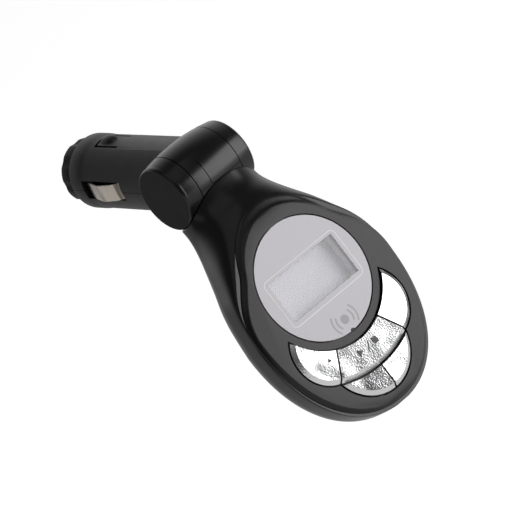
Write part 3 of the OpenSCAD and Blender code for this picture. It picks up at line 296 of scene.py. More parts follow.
def half_shell(front):
    """One half of the housing: outer and inner sections joined by the rim on the parting plane."""
    def places(start, end):
        """Places of the sections: even along the neck, then by the sine of even turns along the tail."""
        neck = start + (neck_l - start) * np.arange(neck_steps) / neck_steps
        turn = math.asin(end) * np.arange(tail_steps + 1) / tail_steps
        return np.r_[neck, neck_l + (head_l - neck_l) * np.sin(turn)]
    outs = places(neck_start, back_end(0))
    if front:
        outs = np.r_[outs, neck_l + (head_l - neck_l) * np.linspace(tip_from, tip_to, tip_steps)]
    ins = places(hollow_start, back_end(wall))
    squeeze = (head_l - wall - neck_l) / (head_l - neck_l)
    deep = np.where(ins < neck_l, ins, neck_l + (ins - neck_l) * squeeze)
    m, k, n = outer_n, inner_n, len(ins)
    outer = [arc(s, m - 1, 0, seat_z, front, s, seat_round) for s in outs]
    roof = seat_z - wall + roof_thin
    inner = [arc(s, k - 1, wall, roof, front, y, inner_round) for s, y in zip(ins, deep)]
    base, last = len(outs) * m, len(outs) - 1
    end = base + (n - 1) * k
    faces = quads(len(outs), m, False).tolist() + (base + quads(n, k, False)[:, ::-1]).tolist()
    j = np.arange(n - 1)
    for o, i in ((0, 0), (m - 1, k - 1)):
        faces += np.c_[j * m + o, (j + 1) * m + o, base + j * k + i].tolist()
        faces += np.c_[(j + 1) * m + o, base + (j + 1) * k + i, base + j * k + i].tolist()
    j = np.arange(n - 1, last)
    faces += np.c_[j * m, j * m + m - 1, (j + 1) * m + m - 1, (j + 1) * m].tolist()
    faces += [[m - 1, 0, base, base + k - 1], [(n - 1) * m, (n - 1) * m + m - 1, end + k - 1, end]]
    faces += [list(range(m - 1, -1, -1)), list(range(last * m, last * m + m)),
              list(range(base, base + k)), list(range(end + k - 1, end - 1, -1))]
    return to_row(np.vstack(outer + inner)), faces


def new_piece(name, points, faces):
    """A mesh object at the origin with its normals facing outwards."""
    mesh = bpy.data.meshes.new(name)
    mesh.from_pydata(np.asarray(points, float).tolist(), [], faces)
    work = bmesh.new()
    work.from_mesh(mesh)
    bmesh.ops.recalc_face_normals(work, faces=work.faces)
    work.to_mesh(mesh)
    work.free()
    obj = bpy.data.objects.new(name, mesh)
    stage.collection.objects.link(obj)
    return obj


def stack(name, rings, to=to_row):
    """A solid through closed rings of equally many points, capped at both ends."""
    rings = np.asarray(rings, float)
    rows, n = rings.shape[:2]
    caps = [list(range(n)), list(range(rows * n - 1, (rows - 1) * n - 1, -1))]
    return new_piece(name, to(rings.reshape(-1, 3)), caps + quads(rows, n).tolist())


def level(outline, z):
    """An outline of (across, along) points at one height."""
    return np.c_[outline, np.full(len(outline), z)]


def prism(name, outline, z0, z1, to=to_row):
    """An upright prism over an outline."""
    return stack(name, [level(outline, z0), level(outline, z1)], to)


def box_outline(x, y, w, d):
    """A rectangle w by d about (x, y)."""
    return np.array([x, y]) + np.array([[-1, -1], [1, -1], [1, 1], [-1, 1]]) * [w / 2, d / 2]


def disc_outline(x, y, r, count=96):
    """A circle: x + r cos a, y + r sin a."""
    a = np.linspace(0, 2 * math.pi, count, endpoint=False)
    return np.c_[x + r * np.cos(a), y + r * np.sin(a)]


def smooth(obj, angle=32):
    """Smooth shading, with edges sharper than the angle kept crisp."""
    obj.data.polygons.foreach_set("use_smooth", [True] * len(obj.data.polygons))
    obj.data.set_sharp_from_angle(angle=math.radians(angle))


def carve(obj, cutter, operation="DIFFERENCE"):
    """Applies one boolean of closed solids and removes the cutter."""
    mod = obj.modifiers.new("cut", "BOOLEAN")
    mod.operation, mod.solver, mod.object = operation, "MANIFOLD", cutter
    done = bpy.data.meshes.new_from_object(obj.evaluated_get(bpy.context.evaluated_depsgraph_get()))
    obj.modifiers.clear()
    old = obj.data
    done.materials.clear()
    obj.data = done
    done.name = obj.name
    bpy.data.meshes.remove(old)
    bpy.data.objects.remove(cutter)


def paint(obj, second, chosen):
    """Adds a second material for the faces that a test on their centres (mm) and normals chooses."""
    faces = obj.data.polygons
    centre, normal = np.empty(len(faces) * 3), np.empty(len(faces) * 3)
    faces.foreach_get("center", centre)
    faces.foreach_get("normal", normal)
    obj.data.materials.append(second)
    picked = chosen(centre.reshape(-1, 3) * 1000, normal.reshape(-1, 3))
    faces.foreach_set("material_index", picked.astype(np.int32))


def dress(obj, body, slot, *materials):
    """Gives a piece its body and its materials. The slot is not used."""
    for material in materials:
        obj.data.materials.append(material)
    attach(obj, body)


def noise_finish(name, tones, rough, scale, detail=2, span=(0, 1), stretch=None):
    """One fine noise on Object coordinates moves the colour between two tones and the roughness."""
    mat = bpy.data.materials.new(name)
    mat.use_nodes = True
    tree = mat.node_tree
    shader = tree.nodes["Principled BSDF"]
    coord = add_node(tree, "TexCoord")
    noise = add_node(tree, "TexNoise", {"Scale": scale, "Detail": detail})
    tone = add_node(tree, "ValToRGB")
    for stop, place, colour in zip(tone.color_ramp.elements, span, tones):
        stop.position = place
        stop.color = (*colour, 1)
    gloss = add_node(tree, "MapRange", {"To Min": rough[0], "To Max": rough[1]})
    source = coord.outputs["Object"]
    if stretch is not None:
        mapping = add_node(tree, "Mapping", {"Scale": stretch})
        wire(tree, (source, mapping.inputs["Vector"]))
        source = mapping.outputs["Vector"]
    wire(tree, (source, noise.inputs["Vector"]), (noise.outputs["Fac"], tone.inputs["Fac"]),
         (tone.outputs["Color"], shader.inputs["Base Color"]), (noise.outputs["Fac"], gloss.inputs["Value"]),
         (gloss.outputs["Result"], shader.inputs["Roughness"]))
    return mat


haze_scale, peel_scale, peel_depth = 260, 900, 0.0001


def moulding(name, colour, specular, rough, peel):
    """Black plastic as moulded: one colour, a slight haze in the gloss and a faint orange-peel."""
    mat = noise_finish(name, (colour, colour), rough, haze_scale, 3)
    tree = mat.node_tree
    shader = tree.nodes["Principled BSDF"]
    shader.inputs["Specular IOR Level"].default_value = specular
    skin = add_node(tree, "TexNoise", {"Scale": peel_scale})
    bump = add_node(tree, "Bump", {"Strength": peel, "Distance": peel_depth})
    wire(tree, (tree.nodes["Texture Coordinate"].outputs["Object"], skin.inputs["Vector"]),
         (skin.outputs["Fac"], bump.inputs["Height"]), (bump.outputs["Normal"], shader.inputs["Normal"]))
    return mat


gloss_black = moulding("gloss_black", (0.0035, 0.0035, 0.0038), 0.45, (0.20, 0.27), 0.08)

# The saddle is cut by the knuckle's crowned surface. The front half has the display window, the well
# of the keys and the data port; the back half has the ear's channel, the card slot and screw recesses.
drum_r, crown_r, drum_half, cap_l, seam = 10.75, 58.0, 7.6, 5.0, 0.15
saddle_half, saddle_gap = 15, 0.3
lens_s, screen_w, screen_h = 39.4, 24.8, 12.2
key_gap = 0.5
side_key, low_key, lens_clear = (9.8, 15.9, 10.3), (0.0, 22.7, 13.1), 20.0
window_z, key_well_z = (11, 16), (12.2, 16)
data_port, data_port_z = (24.4, lens_s + 1.6, 6.0, 13.6), (5.3, 11.9)
ear_channel, ear_channel_z = (0, 10.3, 9.8, 20.6), (-2.7, 6)
card_slot, card_slot_z = (-20, lens_s + 4.6, 12, 24.5), (1.2, 3.8)
recess_places, recess_r, recess_z = ((11.2, 21.5), (16.6, 64.6)), 2.3, (-8, 3.4)


def crown(x):
    """Radius of the knuckle's crowned surface at x: an arc of radius crown_r."""
    return drum_r - crown_r + np.sqrt(crown_r ** 2 - np.square(x))


def at_knuckle(points):
    """Millimetres about the knuckle's middle to row metres."""
    return (points + [0, hinge_y, 0]) / 1000


def lathe(name, profile, count=192, place=at_knuckle):
    """A solid of revolution about X; profile is (x, radius) from end to end."""
    profile = np.asarray(profile, float)
    a = np.linspace(0, 2 * math.pi, count, endpoint=False)
    x, r = profile[:, :1], profile[:, 1:]
    return stack(name, np.stack([x + 0 * a, r * np.cos(a), r * np.sin(a)], -1), place)


def crowned(start, end, count, grow=0.0):
    """Profile of the crowned surface from one x to another, larger by grow."""
    x = np.linspace(start, end, count)
    return np.c_[x, crown(x) + grow]


def key_well(z, count):
    """Three round fields side by side, less the round that the lens keeps clear."""
    field = prism("field_low", disc_outline(low_key[0], lens_s + low_key[1], low_key[2] + key_gap), *z)
    for side in (-1, 1):
        disc = disc_outline(side * side_key[0], lens_s + side_key[1], side_key[2] + key_gap)
        carve(field, prism("field_side", disc, *z), "UNION")
    keep = disc_outline(0, lens_s, lens_clear - key_gap, count)
    carve(field, prism("field_lens", keep, z[0] - 1, z[1] + 1))
    return field


housing = {}
for half_name, is_front in (("front_shell", True), ("rear_shell", False)):
    shell = new_piece(half_name + "_skin", *half_shell(is_front))
    carve(shell, lathe("saddle", crowned(-saddle_half, saddle_half, 61, saddle_gap)))
    if is_front:
        carve(shell, prism("window", box_outline(0, lens_s, screen_w, screen_h), *window_z))
        carve(shell, key_well(key_well_z, 96))
        carve(shell, prism("port", box_outline(*data_port), *data_port_z))
    else:
        carve(shell, prism("channel", box_outline(*ear_channel), *ear_channel_z))
        carve(shell, prism("slot", box_outline(*card_slot), *card_slot_z))
        for side in (-1, 1):
            for recess_x, recess_s in recess_places:
                hole = disc_outline(side * recess_x, recess_s, recess_r, 48)
                carve(shell, prism("recess", hole, *recess_z))
    smooth(shell)
    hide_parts(half_name)
    dress(shell, "head", "gloss_black", gloss_black)
    housing[half_name] = shell

# Face plate
# A moulded plate in gunmetal lacquer with a black edge, set on the housing's seat. A collar round
# the lens flows into two wings; each outline is the wider of an ellipse and an egg, softly joined.
# From the foot the edge rises in a cove to a narrow bevel round the flat top.
collar = {"top": (18.7, 21.4), "foot": (19.0, 24.9)}
wing = {"top": (24.5, 19.3, 32.7), "foot": (25.4, 21.2, 33.5)}
wing_centre, face_z, lens_r, lens_gap, join_power = 5.5, 15.7, 17.1, 0.4, 12
lacquer_z, least_half = 15.45, 0.05
plate_cut_z = (13, 17)

# Rows of the edge: how far from foot (0) to top (1), inset, height.
plate_rows = [(0.0, 0, 13.4), (0.0, 0, 14.62), (0.12, 0, 14.80), (0.35, 0, 14.98), (0.6, 0, 15.14),
              (0.82, 0, 15.32), (0.96, 0, 15.50), (1.0, 0.10, 15.62), (1.0, 0.26, 15.68), (1.0, 0.45, 15.70)]


def plate_half(v, c, w):
    """Half-width at v below the lens centre: p-norm of the collar's ellipse and the wings' egg."""
    upper = v < wing_centre
    a = c[0] * np.sqrt(np.maximum(0, 1 - (v / c[1]) ** 2))
    t = np.where(upper, (wing_centre - v) / w[1], (v - wing_centre) / w[2])
    b = w[0] * round_end(np.minimum(t, 1), np.where(upper, 2, tail_power))
    return (a ** join_power + b ** join_power) ** (1 / join_power)


def plate_outline(mix, inset, count=160):
    """The outline between foot (mix 0) and top (mix 1), evenly dense round both ends."""
    c = [f + (t - f) * mix for f, t in zip(collar["foot"], collar["top"])]
    w = [f + (t - f) * mix for f, t in zip(wing["foot"], wing["top"])]
    top, foot = -c[1] + inset, wing_centre + w[2] - inset
    v = (top + foot) / 2 - (foot - top) / 2 * np.cos(np.linspace(0, math.pi, count + 2)[1:-1])
    h = np.maximum(least_half, plate_half(v, c, w) - inset)
    return np.vstack([np.c_[h, lens_s + v], np.c_[-h[::-1], lens_s + v[::-1]]])


plate = stack("face_plate_lacquer", [level(plate_outline(mix, inset), z) for mix, inset, z in plate_rows])
carve(plate, prism("lens_hole", disc_outline(0, lens_s, lens_r + lens_gap, 160), *plate_cut_z))
carve(plate, key_well(plate_cut_z, 160))
smooth(plate, 40)
gunmetal = noise_finish("gunmetal_lacquer", ((0.015, 0.0125, 0.015), (0.023, 0.019, 0.023)), (0.38, 0.5),
                        5200, 2, (0.35, 0.68))
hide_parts("face_plate")
dress(plate, "head", "gunmetal", gunmetal)
paint(plate, gloss_black, lambda centre, normal: above_head(centre) < lacquer_z)

# Display lens
# A round clear disc printed silver behind, set flush into the plate, with a clear window and a
# moulded notch in its lower edge.
lens_t, notch_r, lens_cut_z = 1.2, 0.8, (13, 17)
lens_body = prism("lens_disc", disc_outline(0, lens_s, lens_r, 192), face_z - lens_t, face_z)
carve(lens_body, prism("notch", disc_outline(0, lens_s + lens_r + notch_r / 3, notch_r, 32), *lens_cut_z))
carve(lens_body, prism("clear", box_outline(0, lens_s, screen_w, screen_h), *lens_cut_z))
smooth(lens_body, 40)
silver = noise_finish("silver_print", ((0.64, 0.615, 0.655), (0.675, 0.65, 0.69)), (0.42, 0.42),
                      7000, 2, (0.3, 0.7))
silver.node_tree.nodes["Principled BSDF"].inputs["Coat Weight"].default_value = 0.35
silver.node_tree.nodes["Principled BSDF"].inputs["Coat Roughness"].default_value = 0.08
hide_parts("lens")
dress(lens_body, "head", "silver_print", silver)

# Window pane
# The clear part of the same disc, just under its face. Light passes it straight, so that the display
# behind it is lit evenly.
pane_gap, pane_drop = 0.02, 0.01
pane_outline = box_outline(0, lens_s, screen_w - 2 * pane_gap, screen_h - 2 * pane_gap)
pane = prism("window_pane", pane_outline, face_z - lens_t, face_z - pane_drop)
clear = noise_finish("clear_pane", ((0.97, 0.97, 0.98), (0.97, 0.97, 0.98)), (0.0, 0.012), 400)
clear_tree = clear.node_tree
clear_glass = clear_tree.nodes["Principled BSDF"]
clear_glass.inputs["Metallic"].default_value = 0.0
clear_glass.inputs["Transmission Weight"].default_value = 1.0
clear_glass.inputs["IOR"].default_value = 1.49
clear_path = add_node(clear_tree, "LightPath")
clear_any = add_node(clear_tree, "Math", operation="MAXIMUM")
clear_through = add_node(clear_tree, "BsdfTransparent")
clear_mix = add_node(clear_tree, "MixShader")
wire(clear_tree, (clear_path.outputs["Is Shadow Ray"], clear_any.inputs[0]),
     (clear_path.outputs["Is Diffuse Ray"], clear_any.inputs[1]),
     (clear_any.outputs[0], clear_mix.inputs[0]),
     (clear_glass.outputs[0], clear_mix.inputs[1]),
     (clear_through.outputs[0], clear_mix.inputs[2]),
     (clear_mix.outputs[0], clear_tree.nodes["Material Output"].inputs["Surface"]))
dress(pane, "head", "fuse_glass", clear)

# Printed line and mark
# A thin white line round the window, and a generic remote-control mark, a dot with two arcs on each
# side, in grey ink. Both are films on the lens.
line_w, line_half, line_top, line_low, line_r = 0.24, 13.6, -7.0, 7.4, 1.5
film_sink, film_rise = 0.01, 0.02
film_low, film_top = face_z - film_sink, face_z + film_rise
mark_v, mark_dot, mark_arcs, mark_w = 13.6, 1.3, (2.7, 4.1), 0.45
mark_start, mark_sweep = (-38, 142), 76


def rounded(grow, count=10):
    """The window line's rounded rectangle, larger by grow: a quarter circle at each corner."""
    half, top, low, r = line_half + grow, line_top - grow, line_low + grow, line_r + grow
    turn = math.pi / 2 * np.arange(count + 1) / count
    corners = ((half - r, low - r), (-half + r, low - r), (-half + r, top + r), (half - r, top + r))
    return np.vstack([np.c_[cx + r * np.cos(turn + i * math.pi / 2),
                            lens_s + cy + r * np.sin(turn + i * math.pi / 2)]
                      for i, (cx, cy) in enumerate(corners)])


def band(name, outer, inner, closed=True):
    """A film between two lines of points, closed into a ring or ended at both ends."""
    n = len(outer)
    loops = [level(outer, film_low), level(inner, film_low), level(inner, film_top), level(outer, film_top)]
    ends = [] if closed else [[0, n, 2 * n, 3 * n], [n - 1, 4 * n - 1, 3 * n - 1, 2 * n - 1]]
    return new_piece(name, to_row(np.vstack(loops)), quads(4, n, closed, True).tolist() + ends)


def ink(name, dark, light):
    """Printing ink: one tone with a fine grain, half matt."""
    return noise_finish(name, (dark, light), (0.4, 0.4), 3000)


line = band("frame_line", rounded(line_w / 2), rounded(-line_w / 2))
dress(line, "head", "silver_print", ink("ink_white", (0.88, 0.88, 0.89), (0.98, 0.98, 0.98)))
mark = prism("remote_mark", disc_outline(0, lens_s + mark_v, mark_dot, 32), film_low, film_top)
for mark_r in mark_arcs:
    for mark_from in mark_start:
        way = np.radians(mark_from + mark_sweep * np.linspace(0, 1, 17))
        edges = [np.c_[q * np.cos(way), lens_s + mark_v + q * np.sin(way)]
                 for q in (mark_r + mark_w / 2, mark_r - mark_w / 2)]
        carve(mark, band("arc", edges[0], edges[1], False), "UNION")
dress(mark, "head", "silver_print", ink("ink_grey", (0.42, 0.41, 0.43), (0.47, 0.46, 0.48)))

# Keys
# Five pieces of one bowl, moulded in plastic and chromed, with a bevel along each outer rim and fine
# rounds on the edges. Each top leans or bows a little, so that each mirrors another part of the room.
key_foot, key_top, bevel_w, bevel_drop, key_cut_z = 12.7, 16.6, 1.2, 0.84, (10, 20)
arc_v, arc_r = -5.8, 34.2
split_top, split_foot, split_far = (8.1, 18.2), (12.8, 25.9), 45.4
key_k = (split_foot[0] - split_top[0]) / (split_foot[1] - split_top[1])
edge_round, edge_from = 0.00013, 28
swell_scale, grain_scale, grain_depth = 110, 2600, 0.0001


def key_blank(name, x, v, r, count=160):
    """Round blank with a bevelled rim."""
    rim = [(r, key_foot), (r, key_top - bevel_drop), (r - bevel_w, key_top)]
    return stack(name, [level(disc_outline(x, lens_s + v, q, count), z) for q, z in rim])


def cut_key(key, outline, operation="DIFFERENCE"):
    """Cuts a key by an upright outline."""
    carve(key, prism("cut", outline, *key_cut_z), operation)


def wedge_outline(grow):
    """The triangle between the two slanted splits, wider by grow on each side."""
    apex = split_top[1] - split_top[0] / key_k - grow * math.sqrt(1 + key_k ** 2) / key_k
    half = key_k * (split_far - apex)
    return np.array([(0, lens_s + apex), (half, lens_s + split_far), (-half, lens_s + split_far)])


def key_chrome(name, lean, swell, grain):
    """Mirror chrome: its top leans across by a slope, swells gently and carries a fine grain."""
    mat = noise_finish(name, ((0.86, 0.86, 0.87), (0.86, 0.86, 0.87)), (0.10, 0.2), swell_scale, 1)
    tree = mat.node_tree
    shader, wave = tree.nodes["Principled BSDF"], tree.nodes["Noise Texture"]
    shader.inputs["Metallic"].default_value = 1.0
    object_place = tree.nodes["Texture Coordinate"].outputs["Object"]
    fine = add_node(tree, "TexNoise", {"Scale": grain_scale, "Detail": 2})
    slope = add_node(tree, "VectorMath", {1: (lean, 0, 0)}, operation="DOT_PRODUCT")
    leaning = add_node(tree, "Bump", {"Strength": 1.0, "Distance": 1.0})
    swelling = add_node(tree, "Bump", {"Strength": 1.0, "Distance": swell})
    grained = add_node(tree, "Bump", {"Strength": grain, "Distance": grain_depth})
    wire(tree, (object_place, slope.inputs[0]), (object_place, fine.inputs["Vector"]),
         (slope.outputs["Value"], leaning.inputs["Height"]),
         (wave.outputs["Fac"], swelling.inputs["Height"]),
         (fine.outputs["Fac"], grained.inputs["Height"]),
         (leaning.outputs["Normal"], swelling.inputs["Normal"]),
         (swelling.outputs["Normal"], grained.inputs["Normal"]),
         (grained.outputs["Normal"], shader.inputs["Normal"]))
    return mat


# Name, place in the bowl, lean of the top, swell of its surface in metres and strength of its grain.
key_list = (("key_left", -1, 0.11, 0.0014, 0.9), ("key_right", 1, 0.0, 0.0014, 0.4),
            ("key_play", 0, 0.215, 0.0008, 1.0), ("key_low_left", -2, 0.27, 0.0012, 1.0),
            ("key_low_right", 2, 0.13, 0.0012, 0.8))
for key_name, kind, lean, swell, grain in key_list:
    if abs(kind) == 1:
        key = key_blank(key_name + "_cap", kind * side_key[0], side_key[1], side_key[2])
        cut_key(key, disc_outline(0, lens_s, lens_clear, 192))
        cut_key(key, wedge_outline(key_gap / 2))
    elif kind == 0:
        key = key_blank(key_name + "_cap", 0, arc_v, arc_r, 320)
        cut_key(key, wedge_outline(-key_gap / 2), "INTERSECT")
        cut_key(key, disc_outline(0, lens_s, lens_clear, 192))
    else:
        key = key_blank(key_name + "_cap", *low_key)
        cut_key(key, disc_outline(0, lens_s + arc_v, arc_r + key_gap, 320))
        other = math.copysign(key_gap / 2 - low_key[2], -kind)
        cut_key(key, box_outline(other, lens_s + low_key[1], 2 * low_key[2], 40))
    bevel = key.modifiers.new("edge", "BEVEL")
    bevel.width, bevel.segments, bevel.limit_method = edge_round, 2, "ANGLE"
    bevel.angle_limit = math.radians(edge_from)
    smooth(key, edge_from)
    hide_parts(key_name)
    dress(key, key_name, "chrome", key_chrome(key_name + "_chrome", lean, swell, grain))

# Generic marks on the keys: play, a slash and stop on the middle one, a small arrow on the left one.
ink_dark = ink("ink_dark", (0.030, 0.030, 0.033), (0.045, 0.045, 0.048))
key_marks = (("play_mark", "key_play", [(-3.7, 21.7), (-1.7, 22.8), (-3.7, 23.9)]),
             ("slash_mark", "key_play", [(-0.6, 23.9), (0.9, 21.5), (1.2, 21.7), (-0.3, 24.1)]),
             ("stop_mark", "key_play", box_outline(3.0, 22.7, 1.8, 1.8)),
             ("arrow_mark", "key_left", [(-12.5, 19.6), (-11.1, 19.6), (-11.8, 18.3)]))
for mark_name, host, outline in key_marks:
    sign = prism(mark_name, np.asarray(outline) + [0, lens_s], key_top - film_sink, key_top + film_rise)
    dress(sign, host, "silver_print", ink_dark)

# Plug
# Two half shells of satin black plastic with a polished drum: barrel and crowned drum in one, with
# side windows, a lock tab on top, a snap finger beside the middle of the drum and the slot that the
# head's ear swings in. They meet on a level plane, and the nose ring screws into their mouth.
plug_r, bore_r, shoulder, edge_r, band_step, parting_gap = 10.3, 8.8, 2.5, 0.35, 0.2, 0.07
bore_end, throat_r, throat_y, hub_room_r = 1.6, 7.35, (-1, 4), 8.9
cap_clear, cap_room_end = 0.4, 14
tab = {"length": 9.4, "width": 5.0, "back": 6.4, "slot": 0.6, "end_slot": 1.0, "cut_z": (5, 12)}
window = {"length": 17.0, "height": 5.6, "back": 2.7, "across": 40}
finger = {"x": -3.5, "half_slit": 0.11, "radius": 26, "from": 180, "to": 140}

# The head tilts between these two angles, and the ear's gap has 14 and 22 degrees more.
tilt_low, tilt_high = 18, 76
ear_gap = {"half": 5.1, "radius": 20, "from": 180 + tilt_low - 14, "to": 180 + tilt_high + 22}
keep_box, keep_z, drum_reach = (0, -20, 60, 80), 30, 0.07
satin_black = moulding("satin_black", (0.009, 0.009, 0.0095), 0.32, (0.42, 0.52), 0.2)
matte_black = moulding("matte_black", (0.005, 0.005, 0.0055), 0.12, (0.42, 0.52), 0.2)


def along_y(points):
    """Millimetres turned so that X runs along the plug's axis, to row metres."""
    return points[:, [1, 0, 2]] / 1000


def row(points):
    """Row millimetres to metres."""
    return np.asarray(points, float) / 1000


def across(points):
    """(along, up, across) from the knuckle's middle in millimetres to row metres."""
    return at_knuckle(points[:, [2, 0, 1]])


def sector(name, x0, x1, radius, start, end, count):
    """A slice of a disc about the knuckle's axis between two angles in degrees."""
    a = np.radians(np.linspace(start, end, count))
    outline = np.vstack([[0, 0], np.c_[radius * np.cos(a), radius * np.sin(a)]])
    return prism(name, outline, x0, x1, across)


barrel_profile = [(hinge_y, plug_r - band_step), (-shoulder - 2, plug_r - band_step),
                  (-shoulder, plug_r - band_step * 0.3), (-shoulder + 0.4, plug_r),
                  (shoulder - edge_r, plug_r), (shoulder - edge_r * 0.4, plug_r - edge_r * 0.15),
                  (shoulder, plug_r - edge_r)]
for half_name, up in (("plug_shell_upper", 1), ("plug_shell_lower", -1)):
    barrel = lathe(half_name + "_skin", barrel_profile, place=along_y)
    carve(barrel, lathe("drum", crowned(-drum_half + seam, drum_half - seam, 41)), "UNION")
    for side in (-1, 1):
        cap_room = crowned(side * (drum_half - seam), side * cap_room_end, 17, cap_clear)
        carve(barrel, lathe("cap_room", cap_room))
    carve(barrel, lathe("bore", [(hinge_y, bore_r), (shoulder - bore_end, bore_r)], 96, along_y))
    carve(barrel, lathe("throat", [(throat_y[0], throat_r), (throat_y[1], throat_r)], 96, along_y))
    carve(barrel, lathe("hub_room", [(-drum_half, hub_room_r), (drum_half, hub_room_r)], 96))
    opening = box_outline(0, -window["back"] - window["length"] / 2, window["across"], window["length"])
    carve(barrel, prism("windows", opening, -window["height"] / 2, window["height"] / 2, row))
    keep_from, keep_to = (parting_gap, keep_z) if up > 0 else (-keep_z, -parting_gap)
    carve(barrel, prism("half", box_outline(*keep_box), keep_from, keep_to, row), "INTERSECT")
    if up > 0:
        tab_end, tab_root = -tab["back"] + tab["slot"], -tab["back"] - tab["length"]
        for side in (-1, 1):
            slot = box_outline(side * (tab["width"] + tab["slot"]) / 2, (tab_end + tab_root) / 2,
                               tab["slot"], tab_end - tab_root)
            carve(barrel, prism("tab_side", slot, *tab["cut_z"], row))
        slot = box_outline(0, -tab["back"] + tab["end_slot"] / 2, tab["width"] + 2 * tab["slot"],
                           tab["end_slot"])
        carve(barrel, prism("tab_end", slot, *tab["cut_z"], row))
        carve(barrel, sector("slit", finger["x"] - finger["half_slit"], finger["x"] + finger["half_slit"],
                             finger["radius"], finger["from"], finger["to"], 9))
    else:
        carve(barrel, sector("ear_gap", -ear_gap["half"], ear_gap["half"], ear_gap["radius"],
                             ear_gap["from"], ear_gap["to"], 17))
    smooth(barrel, 30)
    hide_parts(half_name)
    dress(barrel, "plug", "plug_black", satin_black)
    paint(barrel, gloss_black, lambda centre, normal: (np.abs(centre[:, 0]) < drum_half) & (np.abs(
        np.hypot(centre[:, 1] - hinge_y, centre[:, 2]) - crown(centre[:, 0])) < drum_reach))

# Lock bump
# A rounded nub moulded on the tab's free end: a closed superellipsoid
# |x/a|^2.6 + |y/b|^3.2 + |z/c|^2 = 1 sunk to its middle in the tab.
bump_l, bump_w, bump_h, bump_sink = 5.4, 3.8, 0.89, 0.45
bump_power_x, bump_power_y, bump_inset, bump_pole = 2.6, 3.2, 0.1, 1.5
lon, lat = np.meshgrid(np.linspace(-math.pi, math.pi, 64, endpoint=False),
                       np.linspace(-bump_pole, bump_pole, 31))
bump_x = bump_w / 2 * np.cos(lat) * np.sign(np.cos(lon)) * np.abs(np.cos(lon)) ** (2 / bump_power_x)
bump_y = bump_l / 2 * np.cos(lat) * np.sign(np.sin(lon)) * np.abs(np.sin(lon)) ** (2 / bump_power_y)
bump_z = plug_r - bump_sink + (bump_h + bump_sink) * np.sin(lat)
bump = stack("lock_bump", np.stack([bump_x, bump_y - tab["back"] - bump_l / 2 - bump_inset, bump_z], -1), row)
smooth(bump, 60)
dress(bump, "plug", "plug_black", satin_black)

# Knuckle caps
# Two moulded caps that close the knuckle's ends over its pins. Each is a polished black crowned ring
# with a flat matt disc, and a soft bevel between them.
knuckle_half, cap_bevel, cap_depth, disc_hole, flat_normal = drum_half + cap_l, 0.7, 2.4, 3.0, 0.99
bevel_reach, cap_off, cap_round, cap_run, disc_dip = cap_bevel * 1.6, 0.02, 0.12, 0.3, 0.3
for cap_name, side in (("hinge_cap_left", -1), ("hinge_cap_right", 1)):
    edge_x = knuckle_half - bevel_reach
    turn = np.linspace(0.15, math.pi / 2, 9)
    profile = np.vstack([[(drum_half + cap_off, crown(drum_half) - cap_depth),
                          (drum_half + cap_off, crown(drum_half) - cap_round),
                          (drum_half + cap_round, crown(drum_half + cap_round))],
                         crowned(drum_half + cap_run, edge_x, 14),
                         np.c_[edge_x + bevel_reach * np.sin(turn),
                               crown(edge_x) - cap_bevel * (1 - np.cos(turn))],
                         [(knuckle_half, crown(edge_x) - cap_bevel - disc_dip), (knuckle_half, disc_hole)]])
    cap = lathe(cap_name + "_skin", profile * [side, 1])
    smooth(cap, 30)
    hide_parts(cap_name)
    dress(cap, "plug", "gloss_black", gloss_black)
    paint(cap, matte_black, lambda centre, normal: np.abs(normal[:, 0]) > flat_normal)

# Nose ring
# A matt black ring with eight wide finger lobes, full to its front edge, screwed into the barrel. Between
# the lobes a round of radius bite_r bites in: r = D cos(a) - sqrt(bite_r^2 - D^2 sin(a)^2), where
# D = ring_r + bite_r - scallop.
nose_start, ring_l, ring_r, lobes, scallop, ring_lip = 2.95, 5.5, 8.9, 8, 0.5, 0.7
skirt_r, bite_round, ring_count, open_r = 7.5, 0.35, 384, 99
bite_r = math.pi * ring_r / lobes
nose_end = nose_start + ring_l
ring_rows = [(nose_start, 7.25), (nose_start, ring_r - ring_lip), (nose_start + 0.2, ring_r - 0.25),
             (nose_start + 0.5, ring_r - 0.06), (nose_start + 0.8, ring_r), (nose_end - 0.8, ring_r),
             (nose_end - 0.45, ring_r - 0.08), (nose_end - 0.18, ring_r - 0.28),
             (nose_end - 0.03, ring_r - 0.55), (nose_end, ring_r - 0.9), (nose_end, 3.5),
             (nose_end - 0.3, 3.2), (nose_end - 0.7, 3.2), (nose_end - 0.7, 5.65), (nose_start, 5.65)]
a = np.linspace(0, 2 * math.pi, ring_count, endpoint=False)
near = (a + math.pi / lobes) % (2 * math.pi / lobes) - math.pi / lobes
far = ring_r + bite_r - scallop
inside = np.clip(bite_r ** 2 - (far * np.sin(near)) ** 2, 0, None)
bite = np.where(np.abs(far * np.sin(near)) < bite_r, far * np.cos(near) - np.sqrt(inside), open_r)
ring_pts = []
for y, r in ring_rows:
    full = np.full(ring_count, r)
    rr = np.minimum(r, soft_min(full, bite, bite_round)) if r > skirt_r else full
    ring_pts.append(np.c_[rr * np.cos(a), np.full(ring_count, y), rr * np.sin(a)])
ring_faces = quads(len(ring_rows), ring_count, True, True).tolist()
ring = new_piece("nose_ring_skin", row(np.vstack(ring_pts)), ring_faces)
smooth(ring, 50)
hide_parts("nose_ring")
dress(ring, "nose_ring", "plug_black", matte_black)

